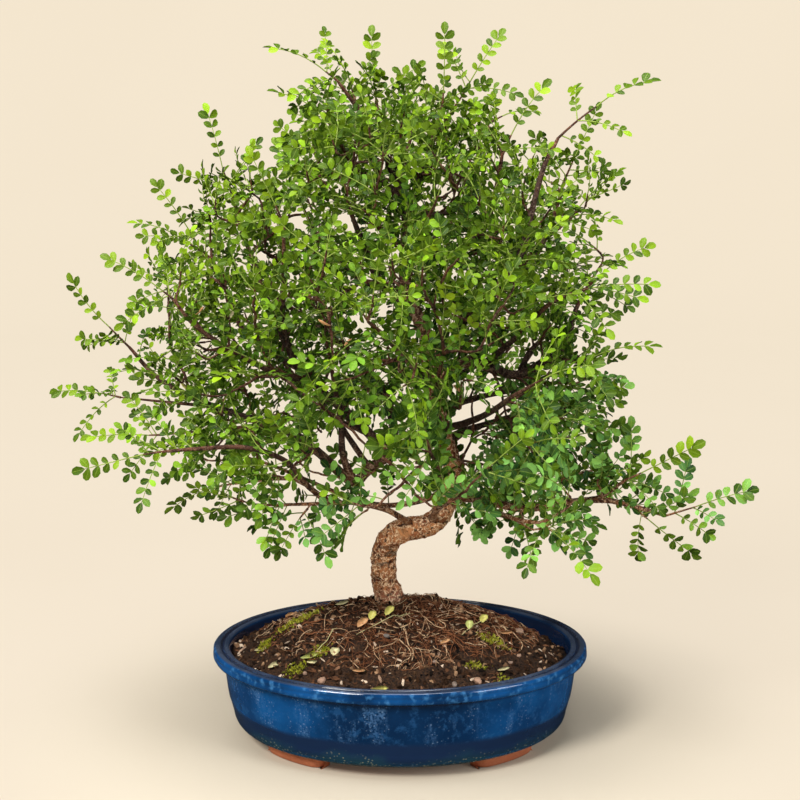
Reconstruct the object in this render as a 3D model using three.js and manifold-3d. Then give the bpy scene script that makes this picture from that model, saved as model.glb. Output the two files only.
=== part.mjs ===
// A zanthoxylum bonsai: an oval glazed pot, a mound of soil, one grown tree of wood and its leaf sprays.
// Millimetres, +Z up, +Y to the back. The origin is on the table, under the middle of the pot.
import * as THREE from "three";
import { mergeVertices } from "three/addons/utils/BufferGeometryUtils.js";
import Module from "manifold-3d";

const wasm = await Module();
wasm.setup();

// Clearance that touching pieces keep.
const GAP = 0.3;

// The pot is an oval. Radii are half widths along X, and its depth is its width times OVAL.
const POT_WIDTH = 250;
const POT_DEPTH = 194;
const POT_HEIGHT = 63;
const OVAL = POT_DEPTH / POT_WIDTH;
const LIP_RADIUS = POT_WIDTH / 2;
const LIP_HEIGHT = 9;
const SHOULDER_RADIUS = LIP_RADIUS - 7;
const BELLY_RADIUS = LIP_RADIUS - 10.4;
const HEEL_RADIUS = LIP_RADIUS - 15;
const BASE_RADIUS = LIP_RADIUS - 31;
const FOOT_HEIGHT = 6;
const FLOOR_THICKNESS = 6;
const FLOOR_TOP = FOOT_HEIGHT + FLOOR_THICKNESS;
const POT_SIDES = 36;

// The wall inside the pot, from the floor to the mouth: radius and height.
const MOUTH_RADIUS = LIP_RADIUS - 11.5;
const MOUTH_HEIGHT = POT_HEIGHT - 3;
const INNER_WALL = [
  [LIP_RADIUS - 30, FLOOR_TOP],
  [LIP_RADIUS - 18, 36],
  [MOUTH_RADIUS, MOUTH_HEIGHT],
];

// Four long low feet follow the oval. Angles are in degrees from +X.
const FOOT_OUTER_RADIUS = 101;
const FOOT_INNER_RADIUS = 86;
const FOOT_START = 30;
const FOOT_END = 61;
const FOOT_SUNK = 3;

// Two drainage holes, each under a square of plastic mesh.
const DRAIN_RADIUS = 7;
const DRAIN_X = 46;
const MESH_WIDTH = 22;
const MESH_THICKNESS = 0.8;
const MESH_HOLES = 2;
const MESH_BAR = 2;

// The soil is a dome whose top lies at the foot of the trunk.
const SOIL_EDGE_HEIGHT = 57;
const SOIL_PEAK_HEIGHT = 89;
const SOIL_PEAK = new THREE.Vector2(-6, 10);
const SOIL_RINGS = [0.86, 0.68, 0.5, 0.32, 0.15];
const SOIL_CRUMB = 1.3;

// A spray is a short stem with a side leaf and an end leaf, all one thin blade cut to its ribs.
const BLADE_THICKNESS = 0.75;
const RIB_HALF_WIDTH = 0.8;
const RIB_SWELL = 0.2;
const SHOOT_LENGTH = 54;
const END_LEAF_LENGTH = 46;
const SIDE_LEAF_LENGTH = 41;
const SIDE_LEAF_ANGLE = 60;
const SHORTEST_STEM = 8;
const FORK_SETBACK = 14;
const FIRST_FORK = 3;
// These shoots bear a second side leaf, opposite the first, where the crown would otherwise have a gap.
const THREE_LEAFED = [
  "left_stem_back", "back_right", "back_middle", "front_right", "front_middle_side_12", "right_riser_side_13",
];
const SPRAY_BOW = 0.08;
const SPRAY_FOLD = 0.25;
const FOLD_REACH = 60;

// Leaflets. Shares are of the leaf's length, or of the leaflet's own.
const FIRST_PAIR_AT = { 2: 0.26, 3: 0.2 };
const LAST_PAIR_AT = 0.6;
const END_LEAFLET_AT = 0.655;
const END_LEAFLET_WIDTH = 0.6;
const LEAFLET_ANGLE = THREE.MathUtils.degToRad(54);
const LEAFLET_LENGTH = 13.5;
const LEAFLET_WIDTH = 0.68;
const LEAFLET_FULLNESS = 0.86;
const LEAFLET_WIDEST_AT = 0.58;
const LEAFLET_ROOT = 0.96;

// Sprays this near to the crown's middle plane are seen in outline, and their end leaf has 3 pairs.
const OUTLINE_BAND = 60;

// Faces of the leaves turn away from the crown's heart, upward, and to the nearer side of the crown.
const CROWN_HEART = new THREE.Vector3(0, 20, 250);
const FACE_OUT = 0.6;
const FACE_UP = 0.6;
const FACE_SIDE = 0.4;
const BACK_FROM = 45;

// Room kept between a leaf and wood, and between two leaves, and the turns tried to find it.
const WOOD_ROOM = 4;
const LEAF_ROOM = 7;
const LEAF_HALF_WIDTH = 9;
const ROLLS = [0, 0.3, -0.3, 0.6, -0.6, 0.9, -0.9, 1.2, -1.2];

// Wood. Slivers thinner than the tolerance, left where tubes meet, are taken out.
const TAPER = 0.8;
const TWIG_THICKEST = 1.5;
const TWIG_END = 0.9;
const TOLERANCE = 0.15;

// The trunk and its limbs: thickness at the root and the end, and the route, chosen by hand. The
// route starts inside the wood that the limb grows from. Aim is where its last leaf ends.
const LIMBS = {
  trunk: {
    root: 9.4,
    end: 1,
    route: [
      [-4, 10, 42], [-5, 10, 64], [-6, 10, 85], [-10, 9, 100], [-11, 7, 115], [-9, 4, 128],
      [-3, 1, 137], [6, -2, 141], [16, -3, 143], [25, -1, 148], [31, 3, 156], [35, 8, 166],
      [35, 13, 178], [32, 15, 190], [28, 14, 205], [24, 11, 222], [22, 6, 242], [18, 2, 264],
      [10, 0, 285], [4, 0, 303], [3, 3, 322], [4, 5, 340], [2, 4, 356], [-6, -2, 378],
      [-13, -7, 392], [-14, 0, 405], [-15, 6, 418],
    ],
    aim: [-19, 10, 472],
  },
  low_left: {
    root: 3.4,
    end: 1,
    route: [[10, -2, 143], [0, -14, 152], [-10, -24, 160], [-30, -35, 167], [-52, -41, 168], [-68, -47, 169]],
    aim: [-117, -54, 160],
  },
  low_left_back: {
    root: 3.2,
    end: 1,
    route: [
      [34, 8, 166], [20, 6, 160], [4, 9, 155], [-14, 18, 152], [-36, 36, 153], [-85, 74, 164],
      [-105, 86, 168],
    ],
    aim: [-158, 98, 174],
  },
  left_limb: {
    root: 5.4,
    end: 1,
    route: [
      [27, 13, 213], [16, 12, 202], [-2, 9, 192], [-20, 0, 181], [-31, -6, 174], [-45, -14, 188],
      [-62, -18, 204], [-82, -18, 214], [-110, -15, 222], [-135, -10, 231], [-158, -5, 244], [-175, -1, 262],
    ],
    aim: [-216, 2, 311],
  },
  left_stem: {
    root: 2.6,
    end: 0.9,
    route: [[-31, -6, 175], [-37, -12, 193], [-38, -16, 214], [-42, -24, 244], [-46, -33, 270]],
    aim: [-58, -66, 318],
  },
  left_stem_back: {
    root: 2.2,
    end: 0.9,
    route: [[-20, 0, 181], [-30, 10, 194], [-44, 28, 210], [-64, 52, 226], [-80, 72, 238]],
    aim: [-118, 104, 262],
  },
  left_riser: {
    root: 3.6,
    end: 1,
    route: [
      [-9, 6, 189], [-21, 3, 205], [-34, -4, 219], [-52, -18, 238], [-66, -31, 257], [-72, -42, 282],
      [-71, -50, 312], [-70, -54, 345],
    ],
    aim: [-95, -60, 398],
  },
  left_riser_inner: {
    root: 2,
    end: 0.9,
    route: [[-70, -38, 268], [-80, -33, 290], [-92, -24, 320], [-101, -18, 346], [-106, -14, 364]],
    aim: [-124, -12, 420],
  },
  left_riser_middle: {
    root: 2,
    end: 0.9,
    route: [[-64, -29, 253], [-84, -20, 263], [-101, -9, 275], [-112, 3, 298], [-121, 8, 318]],
    aim: [-180, 14, 345],
  },
  left_riser_outer: {
    root: 2,
    end: 0.9,
    route: [[-57, -22, 243], [-78, -37, 251], [-102, -52, 267], [-124, -60, 284], [-137, -63, 301]],
    aim: [-181, -66, 331],
  },
  low_left_fan: {
    root: 2.1,
    end: 0.9,
    route: [
      [-45, -39, 168], [-58, -56, 184], [-70, -72, 203], [-92, -85, 214], [-118, -92, 215],
      [-138, -95, 214],
    ],
    aim: [-196, -98, 200],
  },
  low_left_tip: {
    root: 1.8,
    end: 0.9,
    route: [[-70, 62, 160], [-92, 71, 157], [-117, 78, 152]],
    aim: [-170, 84, 128],
  },
  mid_left: {
    root: 3,
    end: 1,
    route: [
      [-3, 9, 192], [-5, 20, 208], [-12, 34, 228], [-27, 46, 245], [-50, 56, 263], [-85, 62, 286],
      [-108, 62, 296],
    ],
    aim: [-160, 64, 314],
  },
  up_left: {
    root: 3.2,
    end: 1,
    route: [[4, 0, 298], [-7, -8, 301], [-17, -20, 314], [-26, -36, 340], [-31, -44, 354]],
    aim: [-52, -66, 402],
  },
  up_left_back: {
    root: 2.2,
    end: 0.9,
    route: [[-8, -8, 301], [-22, 4, 303], [-42, 24, 318], [-56, 36, 333], [-64, 43, 348]],
    aim: [-88, 56, 396],
  },
  top_left: {
    root: 1.7,
    end: 0.9,
    route: [[-13, -7, 392], [-20, -15, 405], [-30, -21, 419], [-38, -24, 430]],
    aim: [-88, -24, 453],
  },
  top_far_left: {
    root: 2.4,
    end: 0.9,
    route: [[3, 4, 354], [-10, 0, 367], [-24, -6, 374], [-34, -13, 386], [-40, -19, 400]],
    aim: [-84, -28, 430],
  },
  top_right: {
    root: 2.5,
    end: 0.9,
    route: [[4, 5, 343], [9, -5, 362], [16, -14, 380], [22, -21, 400], [26, -24, 415]],
    aim: [29, -26, 469],
  },
  up_right: {
    root: 3,
    end: 1,
    route: [[4, 2, 316], [16, -5, 320], [36, -15, 327], [52, -27, 340], [58, -36, 362], [62, -40, 385]],
    aim: [90, -38, 438],
  },
  up_right_back: {
    root: 2.4,
    end: 0.9,
    route: [[4, 5, 335], [15, 12, 344], [36, 20, 349], [47, 28, 360], [50, 32, 375]],
    aim: [63, 26, 431],
  },
  right_riser: {
    root: 4.6,
    end: 1,
    route: [
      [20, 4, 256], [32, -4, 261], [39, -17, 280], [48, -29, 295], [64, -40, 309], [75, -45, 330],
      [80, -46, 352], [87, -43, 378], [96, -38, 396],
    ],
    aim: [160, -36, 435],
  },
  right_riser_inner: {
    root: 2.2,
    end: 0.9,
    route: [[53, -33, 298], [70, -17, 304], [86, 0, 319], [98, 12, 342], [106, 17, 368]],
    aim: [128, 12, 424],
  },
  right_limb: {
    root: 4.4,
    end: 1,
    route: [
      [22, 7, 240], [34, 2, 249], [48, -4, 253], [62, -8, 248], [76, -13, 246], [92, -17, 255],
      [106, -18, 266], [110, -15, 284], [118, -9, 300],
    ],
    aim: [162, 0, 338],
  },
  right_limb_back: {
    root: 2.4,
    end: 0.9,
    route: [[77, -13, 246], [84, 2, 258], [99, 18, 270]],
    aim: [151, 36, 284],
  },
  right_limb_front: {
    root: 2.4,
    end: 0.9,
    route: [[54, -5, 251], [64, -22, 263], [78, -40, 280], [90, -54, 296], [104, -60, 304]],
    aim: [160, -62, 311],
  },
  right_limb_low: {
    root: 2.2,
    end: 0.9,
    route: [[89, -16, 254], [100, -28, 258], [110, -38, 258]],
    aim: [164, -52, 270],
  },
  low_right_back: {
    root: 2.8,
    end: 0.9,
    route: [[24, 12, 218], [40, 32, 219], [62, 52, 221], [84, 66, 222], [102, 76, 221]],
    aim: [154, 92, 208],
  },
  low_right_middle: {
    root: 3,
    end: 0.9,
    route: [[30, 14, 196], [40, 25, 200], [58, 34, 204], [84, 41, 210], [108, 44, 212]],
    aim: [161, 56, 232],
  },
  low_right: {
    root: 3.6,
    end: 1,
    route: [
      [34, 7, 161], [48, -2, 162], [64, -10, 160], [82, -15, 158], [108, -18, 163], [132, -20, 165],
      [154, -20, 160], [172, -18, 154],
    ],
    aim: [235, -18, 174],
  },
  low_right_riser: {
    root: 2,
    end: 0.9,
    route: [[121, -20, 164], [130, -31, 171], [142, -40, 183]],
    aim: [192, -46, 211],
  },
  low_right_front: {
    root: 2.2,
    end: 0.9,
    route: [[47, -2, 162], [60, -28, 160], [74, -54, 161], [86, -76, 165]],
    aim: [118, -114, 138],
  },
  front_shoot: {
    root: 2.2,
    end: 0.9,
    route: [[28, 14, 204], [23, -20, 222], [22, -48, 237], [23, -62, 251], [26, -71, 268]],
    aim: [24, -86, 326],
  },
  front_low: {
    root: 2.6,
    end: 0.9,
    route: [[20, -2, 145], [24, -26, 162], [25, -52, 180], [23, -78, 199], [18, -98, 214]],
    aim: [-22, -134, 228],
  },
  front_middle: {
    root: 2.8,
    end: 0.9,
    route: [[22, 8, 236], [15, -26, 247], [4, -60, 263], [-8, -96, 282], [-18, -127, 296]],
    aim: [-48, -163, 324],
  },
  front_right: {
    root: 2.8,
    end: 0.9,
    route: [[28, 14, 205], [40, -24, 216], [54, -60, 230], [66, -92, 246], [76, -118, 258]],
    aim: [116, -152, 278],
  },
  front_top: {
    root: 2.4,
    end: 0.9,
    route: [[4, 2, 306], [7, -32, 323], [13, -62, 341], [20, -84, 358]],
    aim: [46, -112, 396],
  },
  back_low: {
    root: 3.2,
    end: 0.9,
    route: [[33, 14, 182], [28, 50, 185], [16, 86, 190], [4, 124, 196]],
    aim: [-32, 163, 210],
  },
  back_right: {
    root: 3,
    end: 0.9,
    route: [[22, 8, 236], [36, 46, 234], [54, 82, 236], [76, 112, 240]],
    aim: [118, 146, 256],
  },
  back_middle: {
    root: 3,
    end: 0.9,
    route: [[16, 2, 270], [10, 42, 275], [-2, 78, 283], [-12, 106, 291]],
    aim: [-52, 138, 314],
  },
  back_up: {
    root: 2.6,
    end: 0.9,
    route: [[4, 2, 312], [13, 36, 319], [25, 66, 328], [38, 86, 338]],
    aim: [74, 112, 372],
  },
  back_top: {
    root: 2,
    end: 0.9,
    route: [[2, 4, 357], [0, 28, 371], [4, 50, 384], [8, 62, 396]],
    aim: [16, 86, 446],
  },
  back_left: {
    root: 2.8,
    end: 0.9,
    route: [[-2, 9, 192], [-15, 46, 191], [-32, 80, 192], [-52, 108, 196]],
    aim: [-98, 138, 208],
  },
};

// Side shoots: the limb each grows from, how far along it, and where its last leaf ends.
const SIDE_SHOOTS = [
  { limb: "top_left", at: 0.2, aim: [-52, 26, 460] },
  { limb: "top_right", at: 0.7, aim: [70, -10, 467] },
  { limb: "left_riser_middle", at: 0.75, aim: [-158, -2, 376] },
  { limb: "left_limb", at: 0.76, aim: [-235, 20, 230] },
  { limb: "left_limb", at: 0.64, aim: [-206, -26, 204] },
  { limb: "low_left", at: 0.85, aim: [-78, -60, 138] },
  { limb: "low_left", at: 0.5, aim: [-34, -88, 152] },
  { limb: "right_riser_inner", at: 0.62, aim: [150, 20, 376] },
  { limb: "low_right", at: 0.8, aim: [200, -14, 130] },
  { limb: "low_right", at: 0.4, aim: [84, -66, 134] },
  { limb: "left_riser", at: 0.5, aim: [-108, -120, 262] },
  { limb: "front_middle", at: 0.55, aim: [-66, -130, 246] },
  { limb: "right_riser", at: 0.5, aim: [78, -112, 346] },
];

// Colour and roughness of each material, and the height from which leaves are young.
const YOUNG_ABOVE = 285;
const COLOURS = {
  glaze: [0x14386e, 0.18],
  soil: [0x3a2418, 0.95],
  bark: [0x7d5a3e, 0.85],
  mesh: [0x1d1f20, 0.7],
  youngLeaf: [0x86ab35, 0.45],
  oldLeaf: [0x3f7431, 0.4],
};

function material(colour, roughness) {
  return new THREE.MeshStandardMaterial({ color: colour, roughness, metalness: 0 });
}

// A number from 0 to 1 that is always the same for the same n.
function draw(n) {
  const s = Math.sin(n * 12.9898 + 4.1414) * 43758.5453;
  return s - Math.floor(s);
}

function solidOf(geometry) {
  const bare = geometry.clone();
  bare.deleteAttribute("normal");
  bare.deleteAttribute("uv");
  const merged = mergeVertices(bare, 1e-4);
  return new wasm.Manifold(new wasm.Mesh({
    numProp: 3,
    vertProperties: new Float32Array(merged.attributes.position.array),
    triVerts: new Uint32Array(merged.index.array),
  }));
}

function meshOf(name, solid, [colour, roughness]) {
  const { vertProperties, triVerts } = solid.getMesh();
  const geometry = new THREE.BufferGeometry();
  geometry.setAttribute("position", new THREE.BufferAttribute(vertProperties, 3));
  geometry.setIndex(new THREE.BufferAttribute(triVerts, 1));
  geometry.computeVertexNormals();
  const mesh = new THREE.Mesh(geometry, material(colour, roughness));
  mesh.name = name;
  return mesh;
}

// Moves each vertex of a geometry to where place(x, y, z) puts it.
function moveVertices(geometry, place) {
  const position = geometry.attributes.position;
  for (let i = 0; i < position.count; i += 1) {
    const moved = place(position.getX(i), position.getY(i), position.getZ(i));
    position.setXYZ(i, moved.x, moved.y, moved.z);
  }
  return geometry;
}

// Turns a profile of radius and height around Z, then narrows it to the oval.
function ovalLathe(profile) {
  const points = profile.map(([radius, height]) => new THREE.Vector2(radius, height));
  const lathe = new THREE.LatheGeometry(points, POT_SIDES);
  lathe.rotateX(Math.PI / 2);
  return lathe.scale(1, OVAL, 1);
}

function potBody() {
  const profile = [
    [0, FOOT_HEIGHT],
    [BASE_RADIUS, FOOT_HEIGHT],
    [BASE_RADIUS + 11, FOOT_HEIGHT + 2],
    [HEEL_RADIUS, FOOT_HEIGHT + 6.5],
    [BELLY_RADIUS, 27],
    [SHOULDER_RADIUS, POT_HEIGHT - LIP_HEIGHT],
    [LIP_RADIUS - 2, POT_HEIGHT - LIP_HEIGHT + 0.6],
    [LIP_RADIUS, POT_HEIGHT - 5],
    [LIP_RADIUS - 3, POT_HEIGHT - 0.7],
    [LIP_RADIUS - 7, POT_HEIGHT],
    ...[...INNER_WALL].reverse(),
    [0, FLOOR_TOP],
  ];
  return solidOf(ovalLathe(profile));
}

function foot(quarter) {
  const start = THREE.MathUtils.degToRad(quarter % 2 ? 180 - FOOT_END : FOOT_START);
  const end = THREE.MathUtils.degToRad(quarter % 2 ? 180 - FOOT_START : FOOT_END);
  const turn = quarter < 2 ? 0 : Math.PI;
  const outline = new THREE.Shape();
  outline.absarc(0, 0, FOOT_OUTER_RADIUS, start + turn, end + turn, false);
  outline.absarc(0, 0, FOOT_INNER_RADIUS, end + turn, start + turn, true);
  const depth = FOOT_HEIGHT + FOOT_SUNK;
  const block = new THREE.ExtrudeGeometry(outline, { depth, bevelEnabled: false, curveSegments: 5 });
  return solidOf(block.scale(1, OVAL, 1));
}

function drainHole(side) {
  const hole = new THREE.CylinderGeometry(DRAIN_RADIUS, DRAIN_RADIUS, FLOOR_THICKNESS + 4, 16);
  hole.rotateX(Math.PI / 2);
  return solidOf(hole.translate(side * DRAIN_X, 0, FOOT_HEIGHT + FLOOR_THICKNESS / 2));
}

function pot() {
  const feet = [0, 1, 2, 3].map(foot);
  const body = wasm.Manifold.union([potBody(), ...feet]);
  return body.subtract(drainHole(-1)).subtract(drainHole(1));
}

function drainMesh(side) {
  const pitch = (MESH_WIDTH - MESH_BAR) / MESH_HOLES;
  const size = pitch - MESH_BAR;
  const holes = [];
  for (let column = 0; column < MESH_HOLES; column += 1) {
    for (let row = 0; row < MESH_HOLES; row += 1) {
      const x = (column - (MESH_HOLES - 1) / 2) * pitch;
      const y = (row - (MESH_HOLES - 1) / 2) * pitch;
      holes.push(solidOf(new THREE.BoxGeometry(size, size, 4 * MESH_THICKNESS).translate(x, y, 0)));
    }
  }
  const plate = solidOf(new THREE.BoxGeometry(MESH_WIDTH, MESH_WIDTH, MESH_THICKNESS));
  const height = FLOOR_TOP + GAP + MESH_THICKNESS / 2;
  return wasm.Manifold.difference([plate, ...holes]).translate([side * DRAIN_X, 0, height]);
}

function meshPocket(side) {
  const width = MESH_WIDTH + 2 * GAP;
  const height = 2 * (MESH_THICKNESS + 2 * GAP);
  return solidOf(new THREE.BoxGeometry(width, width, height).translate(side * DRAIN_X, 0, FLOOR_TOP));
}

// A dome from the pot wall to the foot of the trunk, with crumbs of earth raised at random.
function soilDome() {
  const wallGap = GAP / OVAL;
  const [floorRadius] = INNER_WALL[0];
  const [middleRadius, middleHeight] = INNER_WALL[1];
  const slope = (MOUTH_RADIUS - middleRadius) / (MOUTH_HEIGHT - middleHeight);
  const edgeRadius = middleRadius + slope * (SOIL_EDGE_HEIGHT - middleHeight) - wallGap;
  const dome = (s) => SOIL_EDGE_HEIGHT + (SOIL_PEAK_HEIGHT - SOIL_EDGE_HEIGHT) * (1 - s * s);
  const profile = [
    [0, FLOOR_TOP + GAP],
    [floorRadius - wallGap, FLOOR_TOP + GAP],
    [middleRadius - wallGap, middleHeight],
    [edgeRadius, SOIL_EDGE_HEIGHT],
    ...SOIL_RINGS.map((s) => [edgeRadius * s, dome(s)]),
    [0, SOIL_PEAK_HEIGHT],
  ];
  return moveVertices(ovalLathe(profile), (x, y, z) => {
    const s = Math.hypot(x, y / OVAL) / edgeRadius;
    if (z < SOIL_EDGE_HEIGHT + SOIL_CRUMB) return new THREE.Vector3(x, y, z);
    const seed = Math.round(x * 3) * 0.37 + Math.round(y * 3) * 1.31;
    const crumb = SOIL_CRUMB * (2 * draw(seed) - 1);
    return new THREE.Vector3(x + SOIL_PEAK.x * (1 - s), y + SOIL_PEAK.y * (1 - s), z + crumb);
  });
}

function soil() {
  const stump = limbSolid(LIMBS.trunk, GAP);
  const cuts = [stump, stump.translate([0, 0, -GAP]), meshPocket(-1), meshPocket(1)];
  return wasm.Manifold.difference([solidOf(soilDome()), ...cuts]).simplify(GAP / 4);
}

const vector = (point) => new THREE.Vector3(...point);

function routeCurve(route) {
  return new THREE.CatmullRomCurve3(route.map(vector), false, "catmullrom", 0.5);
}

// A square turned on with the route, so that the tube along it doesn't twist.
function routeFrames(points) {
  let side = new THREE.Vector3(1, 0, 0);
  return points.map((point, i) => {
    const next = points[Math.min(i + 1, points.length - 1)];
    const last = points[Math.max(i - 1, 0)];
    const ahead = next.clone().sub(last).normalize();
    if (i === 0 && Math.abs(ahead.x) > 0.9) side.set(0, 1, 0);
    side = side.clone().addScaledVector(ahead, -side.dot(ahead)).normalize();
    return { point, side, up: ahead.clone().cross(side) };
  });
}

// A tapering tube along a curve: a cylinder whose rings are laid on the curve's points.
function tube(curve, radiusAt, sides, steps) {
  const frames = routeFrames(curve.getPoints(steps));
  const cylinder = new THREE.CylinderGeometry(1, 1, 1, sides, steps);
  const bent = moveVertices(cylinder, (x, y, z) => {
    const along = 0.5 - y;
    const { point, side, up } = frames[Math.round(along * steps)];
    const radius = radiusAt(along);
    return point.clone().addScaledVector(side, x * radius).addScaledVector(up, z * radius);
  });
  return solidOf(bent);
}

function limbRadius({ root, end }, along) {
  return end + (root - end) * (1 - along) ** TAPER;
}

function limbSides(root) {
  if (root > 9) return 11;
  if (root > 3.9) return 7;
  return root > 2.3 ? 4 : 3;
}

function limbSteps({ route, root }) {
  const bends = route.length - 1;
  return root > 3.9 ? bends : Math.ceil(bends * 0.8);
}

function limbSolid(limb, extra) {
  const steps = limbSteps(limb);
  const radiusAt = (along) => limbRadius(limb, along) + extra;
  return tube(routeCurve(limb.route), radiusAt, limbSides(limb.root), steps);
}

// A shoot: the twig's end, the way its spray points, and the spray's length.
function endShoot(name, limb) {
  const curve = routeCurve(limb.route);
  const base = curve.getPoint(1);
  const heading = base.clone().sub(curve.getPoint(1 - 1 / limbSteps(limb))).normalize();
  return { name, base, aim: vector(limb.aim), heading };
}

function sideShoot({ limb, at, aim }, i) {
  const parent = LIMBS[limb];
  const root = routeCurve(parent.route).getPoint(at);
  const target = vector(aim);
  const reach = target.distanceTo(root);
  const base = target.clone().lerp(root, Math.min(SHOOT_LENGTH / reach, 0.9));
  const heading = target.clone().sub(root).normalize();
  const radius = limbRadius(parent, at);
  return { name: `${limb}_side_${i + 1}`, base, aim: target, heading, root, radius };
}

function twigSolid({ root, base, radius }) {
  const thick = Math.min(radius * TAPER, TWIG_THICKEST);
  return tube(new THREE.LineCurve3(root, base), (along) => thick + (TWIG_END - thick) * along, 3, 1);
}

function ribHalfWidth(share) {
  return RIB_HALF_WIDTH + RIB_SWELL * Math.sin(Math.PI * share);
}

// One leaflet on the left of the rib: a narrow root, a shoulder, the tip, a shoulder and the root.
function leaflet(rootX, rootY, size, width) {
  const along = new THREE.Vector2(Math.cos(LEAFLET_ANGLE), Math.sin(LEAFLET_ANGLE));
  const at = (reach, offset) => [
    rootX + along.x * reach + along.y * offset,
    rootY + along.y * reach - along.x * offset,
  ];
  return [
    [rootX - LEAFLET_ROOT, rootY],
    at(size * LEAFLET_WIDEST_AT, -width / 2),
    at(size, 0),
    at(size * LEAFLET_WIDEST_AT, width / 2),
    [rootX + LEAFLET_ROOT, rootY],
  ];
}

// Leaflets along one side of a rib that lies along +X. Side is 1 on the left and -1 on the right.
function leafletRow(length, pairs, side, seed) {
  const first = FIRST_PAIR_AT[pairs];
  const spacing = (LAST_PAIR_AT - first) / (pairs - 1);
  const room = spacing * length * Math.sin(LEAFLET_ANGLE) * LEAFLET_FULLNESS;
  const width = Math.min(room, LEAFLET_LENGTH * LEAFLET_WIDTH);
  const points = [];
  for (let i = 0; i < pairs; i += 1) {
    const share = first + spacing * i;
    const size = LEAFLET_LENGTH * (0.9 + 0.2 * draw(seed + i * 7 + side * 3));
    points.push(...leaflet(share * length, ribHalfWidth(share), size, width));
  }
  return points.map(([x, y]) => [x, side * y]);
}

// A compound leaf's outline, up the right of its rib, round the end leaflet and down the left.
function leafOutline(length, pairs, seed) {
  const endLength = length * (1 - END_LEAFLET_AT);
  const shoulder = length - endLength * (1 - LEAFLET_WIDEST_AT);
  const half = (endLength * END_LEAFLET_WIDTH) / 2;
  const end = [[shoulder, -half], [length, 0], [shoulder, half]];
  return [...leafletRow(length, pairs, -1, seed), ...end, ...leafletRow(length, pairs, 1, seed).reverse()];
}

function placeOutline(points, at, degrees) {
  const turn = THREE.MathUtils.degToRad(degrees);
  const cos = Math.cos(turn);
  const sin = Math.sin(turn);
  return points.map(([x, y]) => [at + x * cos - y * sin, x * sin + y * cos]);
}

// Where the stem ends and where the side leaf forks off, in a spray of this length.
function sprayPlan(length) {
  const endLeaf = Math.min(END_LEAF_LENGTH, length - SHORTEST_STEM);
  const stem = length - endLeaf;
  return { endLeaf, stem, fork: Math.max(stem - FORK_SETBACK, FIRST_FORK) };
}

function sideLeafOutline(fork, side, seed) {
  const leaf = placeOutline(leafOutline(SIDE_LEAF_LENGTH, 2, seed), fork, side * SIDE_LEAF_ANGLE);
  const below = [fork - RIB_SWELL, side * (RIB_HALF_WIDTH + RIB_SWELL / 2)];
  const above = [fork + 2, side * (RIB_HALF_WIDTH + RIB_SWELL)];
  return side < 0 ? [below, ...leaf, above] : [above, ...leaf, below];
}

function sprayOutline(length, start, sides, pairs, seed) {
  const { endLeaf, stem, fork } = sprayPlan(length);
  const end = placeOutline(leafOutline(endLeaf, pairs, seed), stem, 0);
  const base = [[start, RIB_HALF_WIDTH], [start, -RIB_HALF_WIDTH]];
  const forkLeaf = (side) => (sides.includes(side) ? sideLeafOutline(fork, side, seed + 50) : []);
  return [...base, ...forkLeaf(-1), ...end, ...forkLeaf(1)];
}

// Points on the leaves' ribs and edges, which stand for the spray when room is measured.
function sprayProbes(length, sides) {
  const { endLeaf, stem, fork } = sprayPlan(length);
  const leaf = (reach) => [0.2, 0.4, 0.6, 0.8, 1].flatMap((share) => {
    const half = share < 1 ? LEAF_HALF_WIDTH : 0;
    return [[reach * share, -half], [reach * share, 0], [reach * share, half]];
  });
  const forkLeaf = (side) => placeOutline(leaf(SIDE_LEAF_LENGTH), fork, side * SIDE_LEAF_ANGLE);
  return [...placeOutline(leaf(endLeaf), stem, 0), ...sides.flatMap(forkLeaf)];
}

function sprayAxes({ base, aim }, roll) {
  const ahead = aim.clone().sub(base).normalize();
  const face = base.clone().sub(CROWN_HEART).normalize().multiplyScalar(FACE_OUT);
  face.add(new THREE.Vector3(0, base.y > BACK_FROM ? FACE_SIDE : -FACE_SIDE, FACE_UP));
  face.addScaledVector(ahead, -face.dot(ahead)).normalize();
  face.applyAxisAngle(ahead, roll);
  return { ahead, face, across: face.clone().cross(ahead) };
}

// Puts a point of the flat spray in its place, bowed along its length and folded at its ribs.
function sprayPoint({ base }, { ahead, face, across }, length, x, y, z) {
  const along = x / length;
  const bow = SPRAY_BOW * length * 4 * along * (1 - along);
  const fold = SPRAY_FOLD * Math.abs(y) * (1 - Math.abs(y) / FOLD_REACH);
  const point = base.clone().addScaledVector(ahead, x).addScaledVector(across, y);
  return point.addScaledVector(face, z + bow - fold);
}

// The least room around the probes, where 1 is just enough. Wood at the spray's own base is skipped.
function roomAround(probes, base, woodPoints, leafPoints) {
  const wood = woodPoints.filter(({ point }) => point.distanceTo(base) > WOOD_ROOM);
  const rooms = probes.flatMap((probe) => [
    ...wood.map(({ point, radius }) => (probe.distanceTo(point) - radius) / WOOD_ROOM),
    ...leafPoints.map((point) => probe.distanceTo(point) / LEAF_ROOM),
  ]);
  return rooms.reduce((least, room) => Math.min(least, room), Infinity);
}

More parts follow.
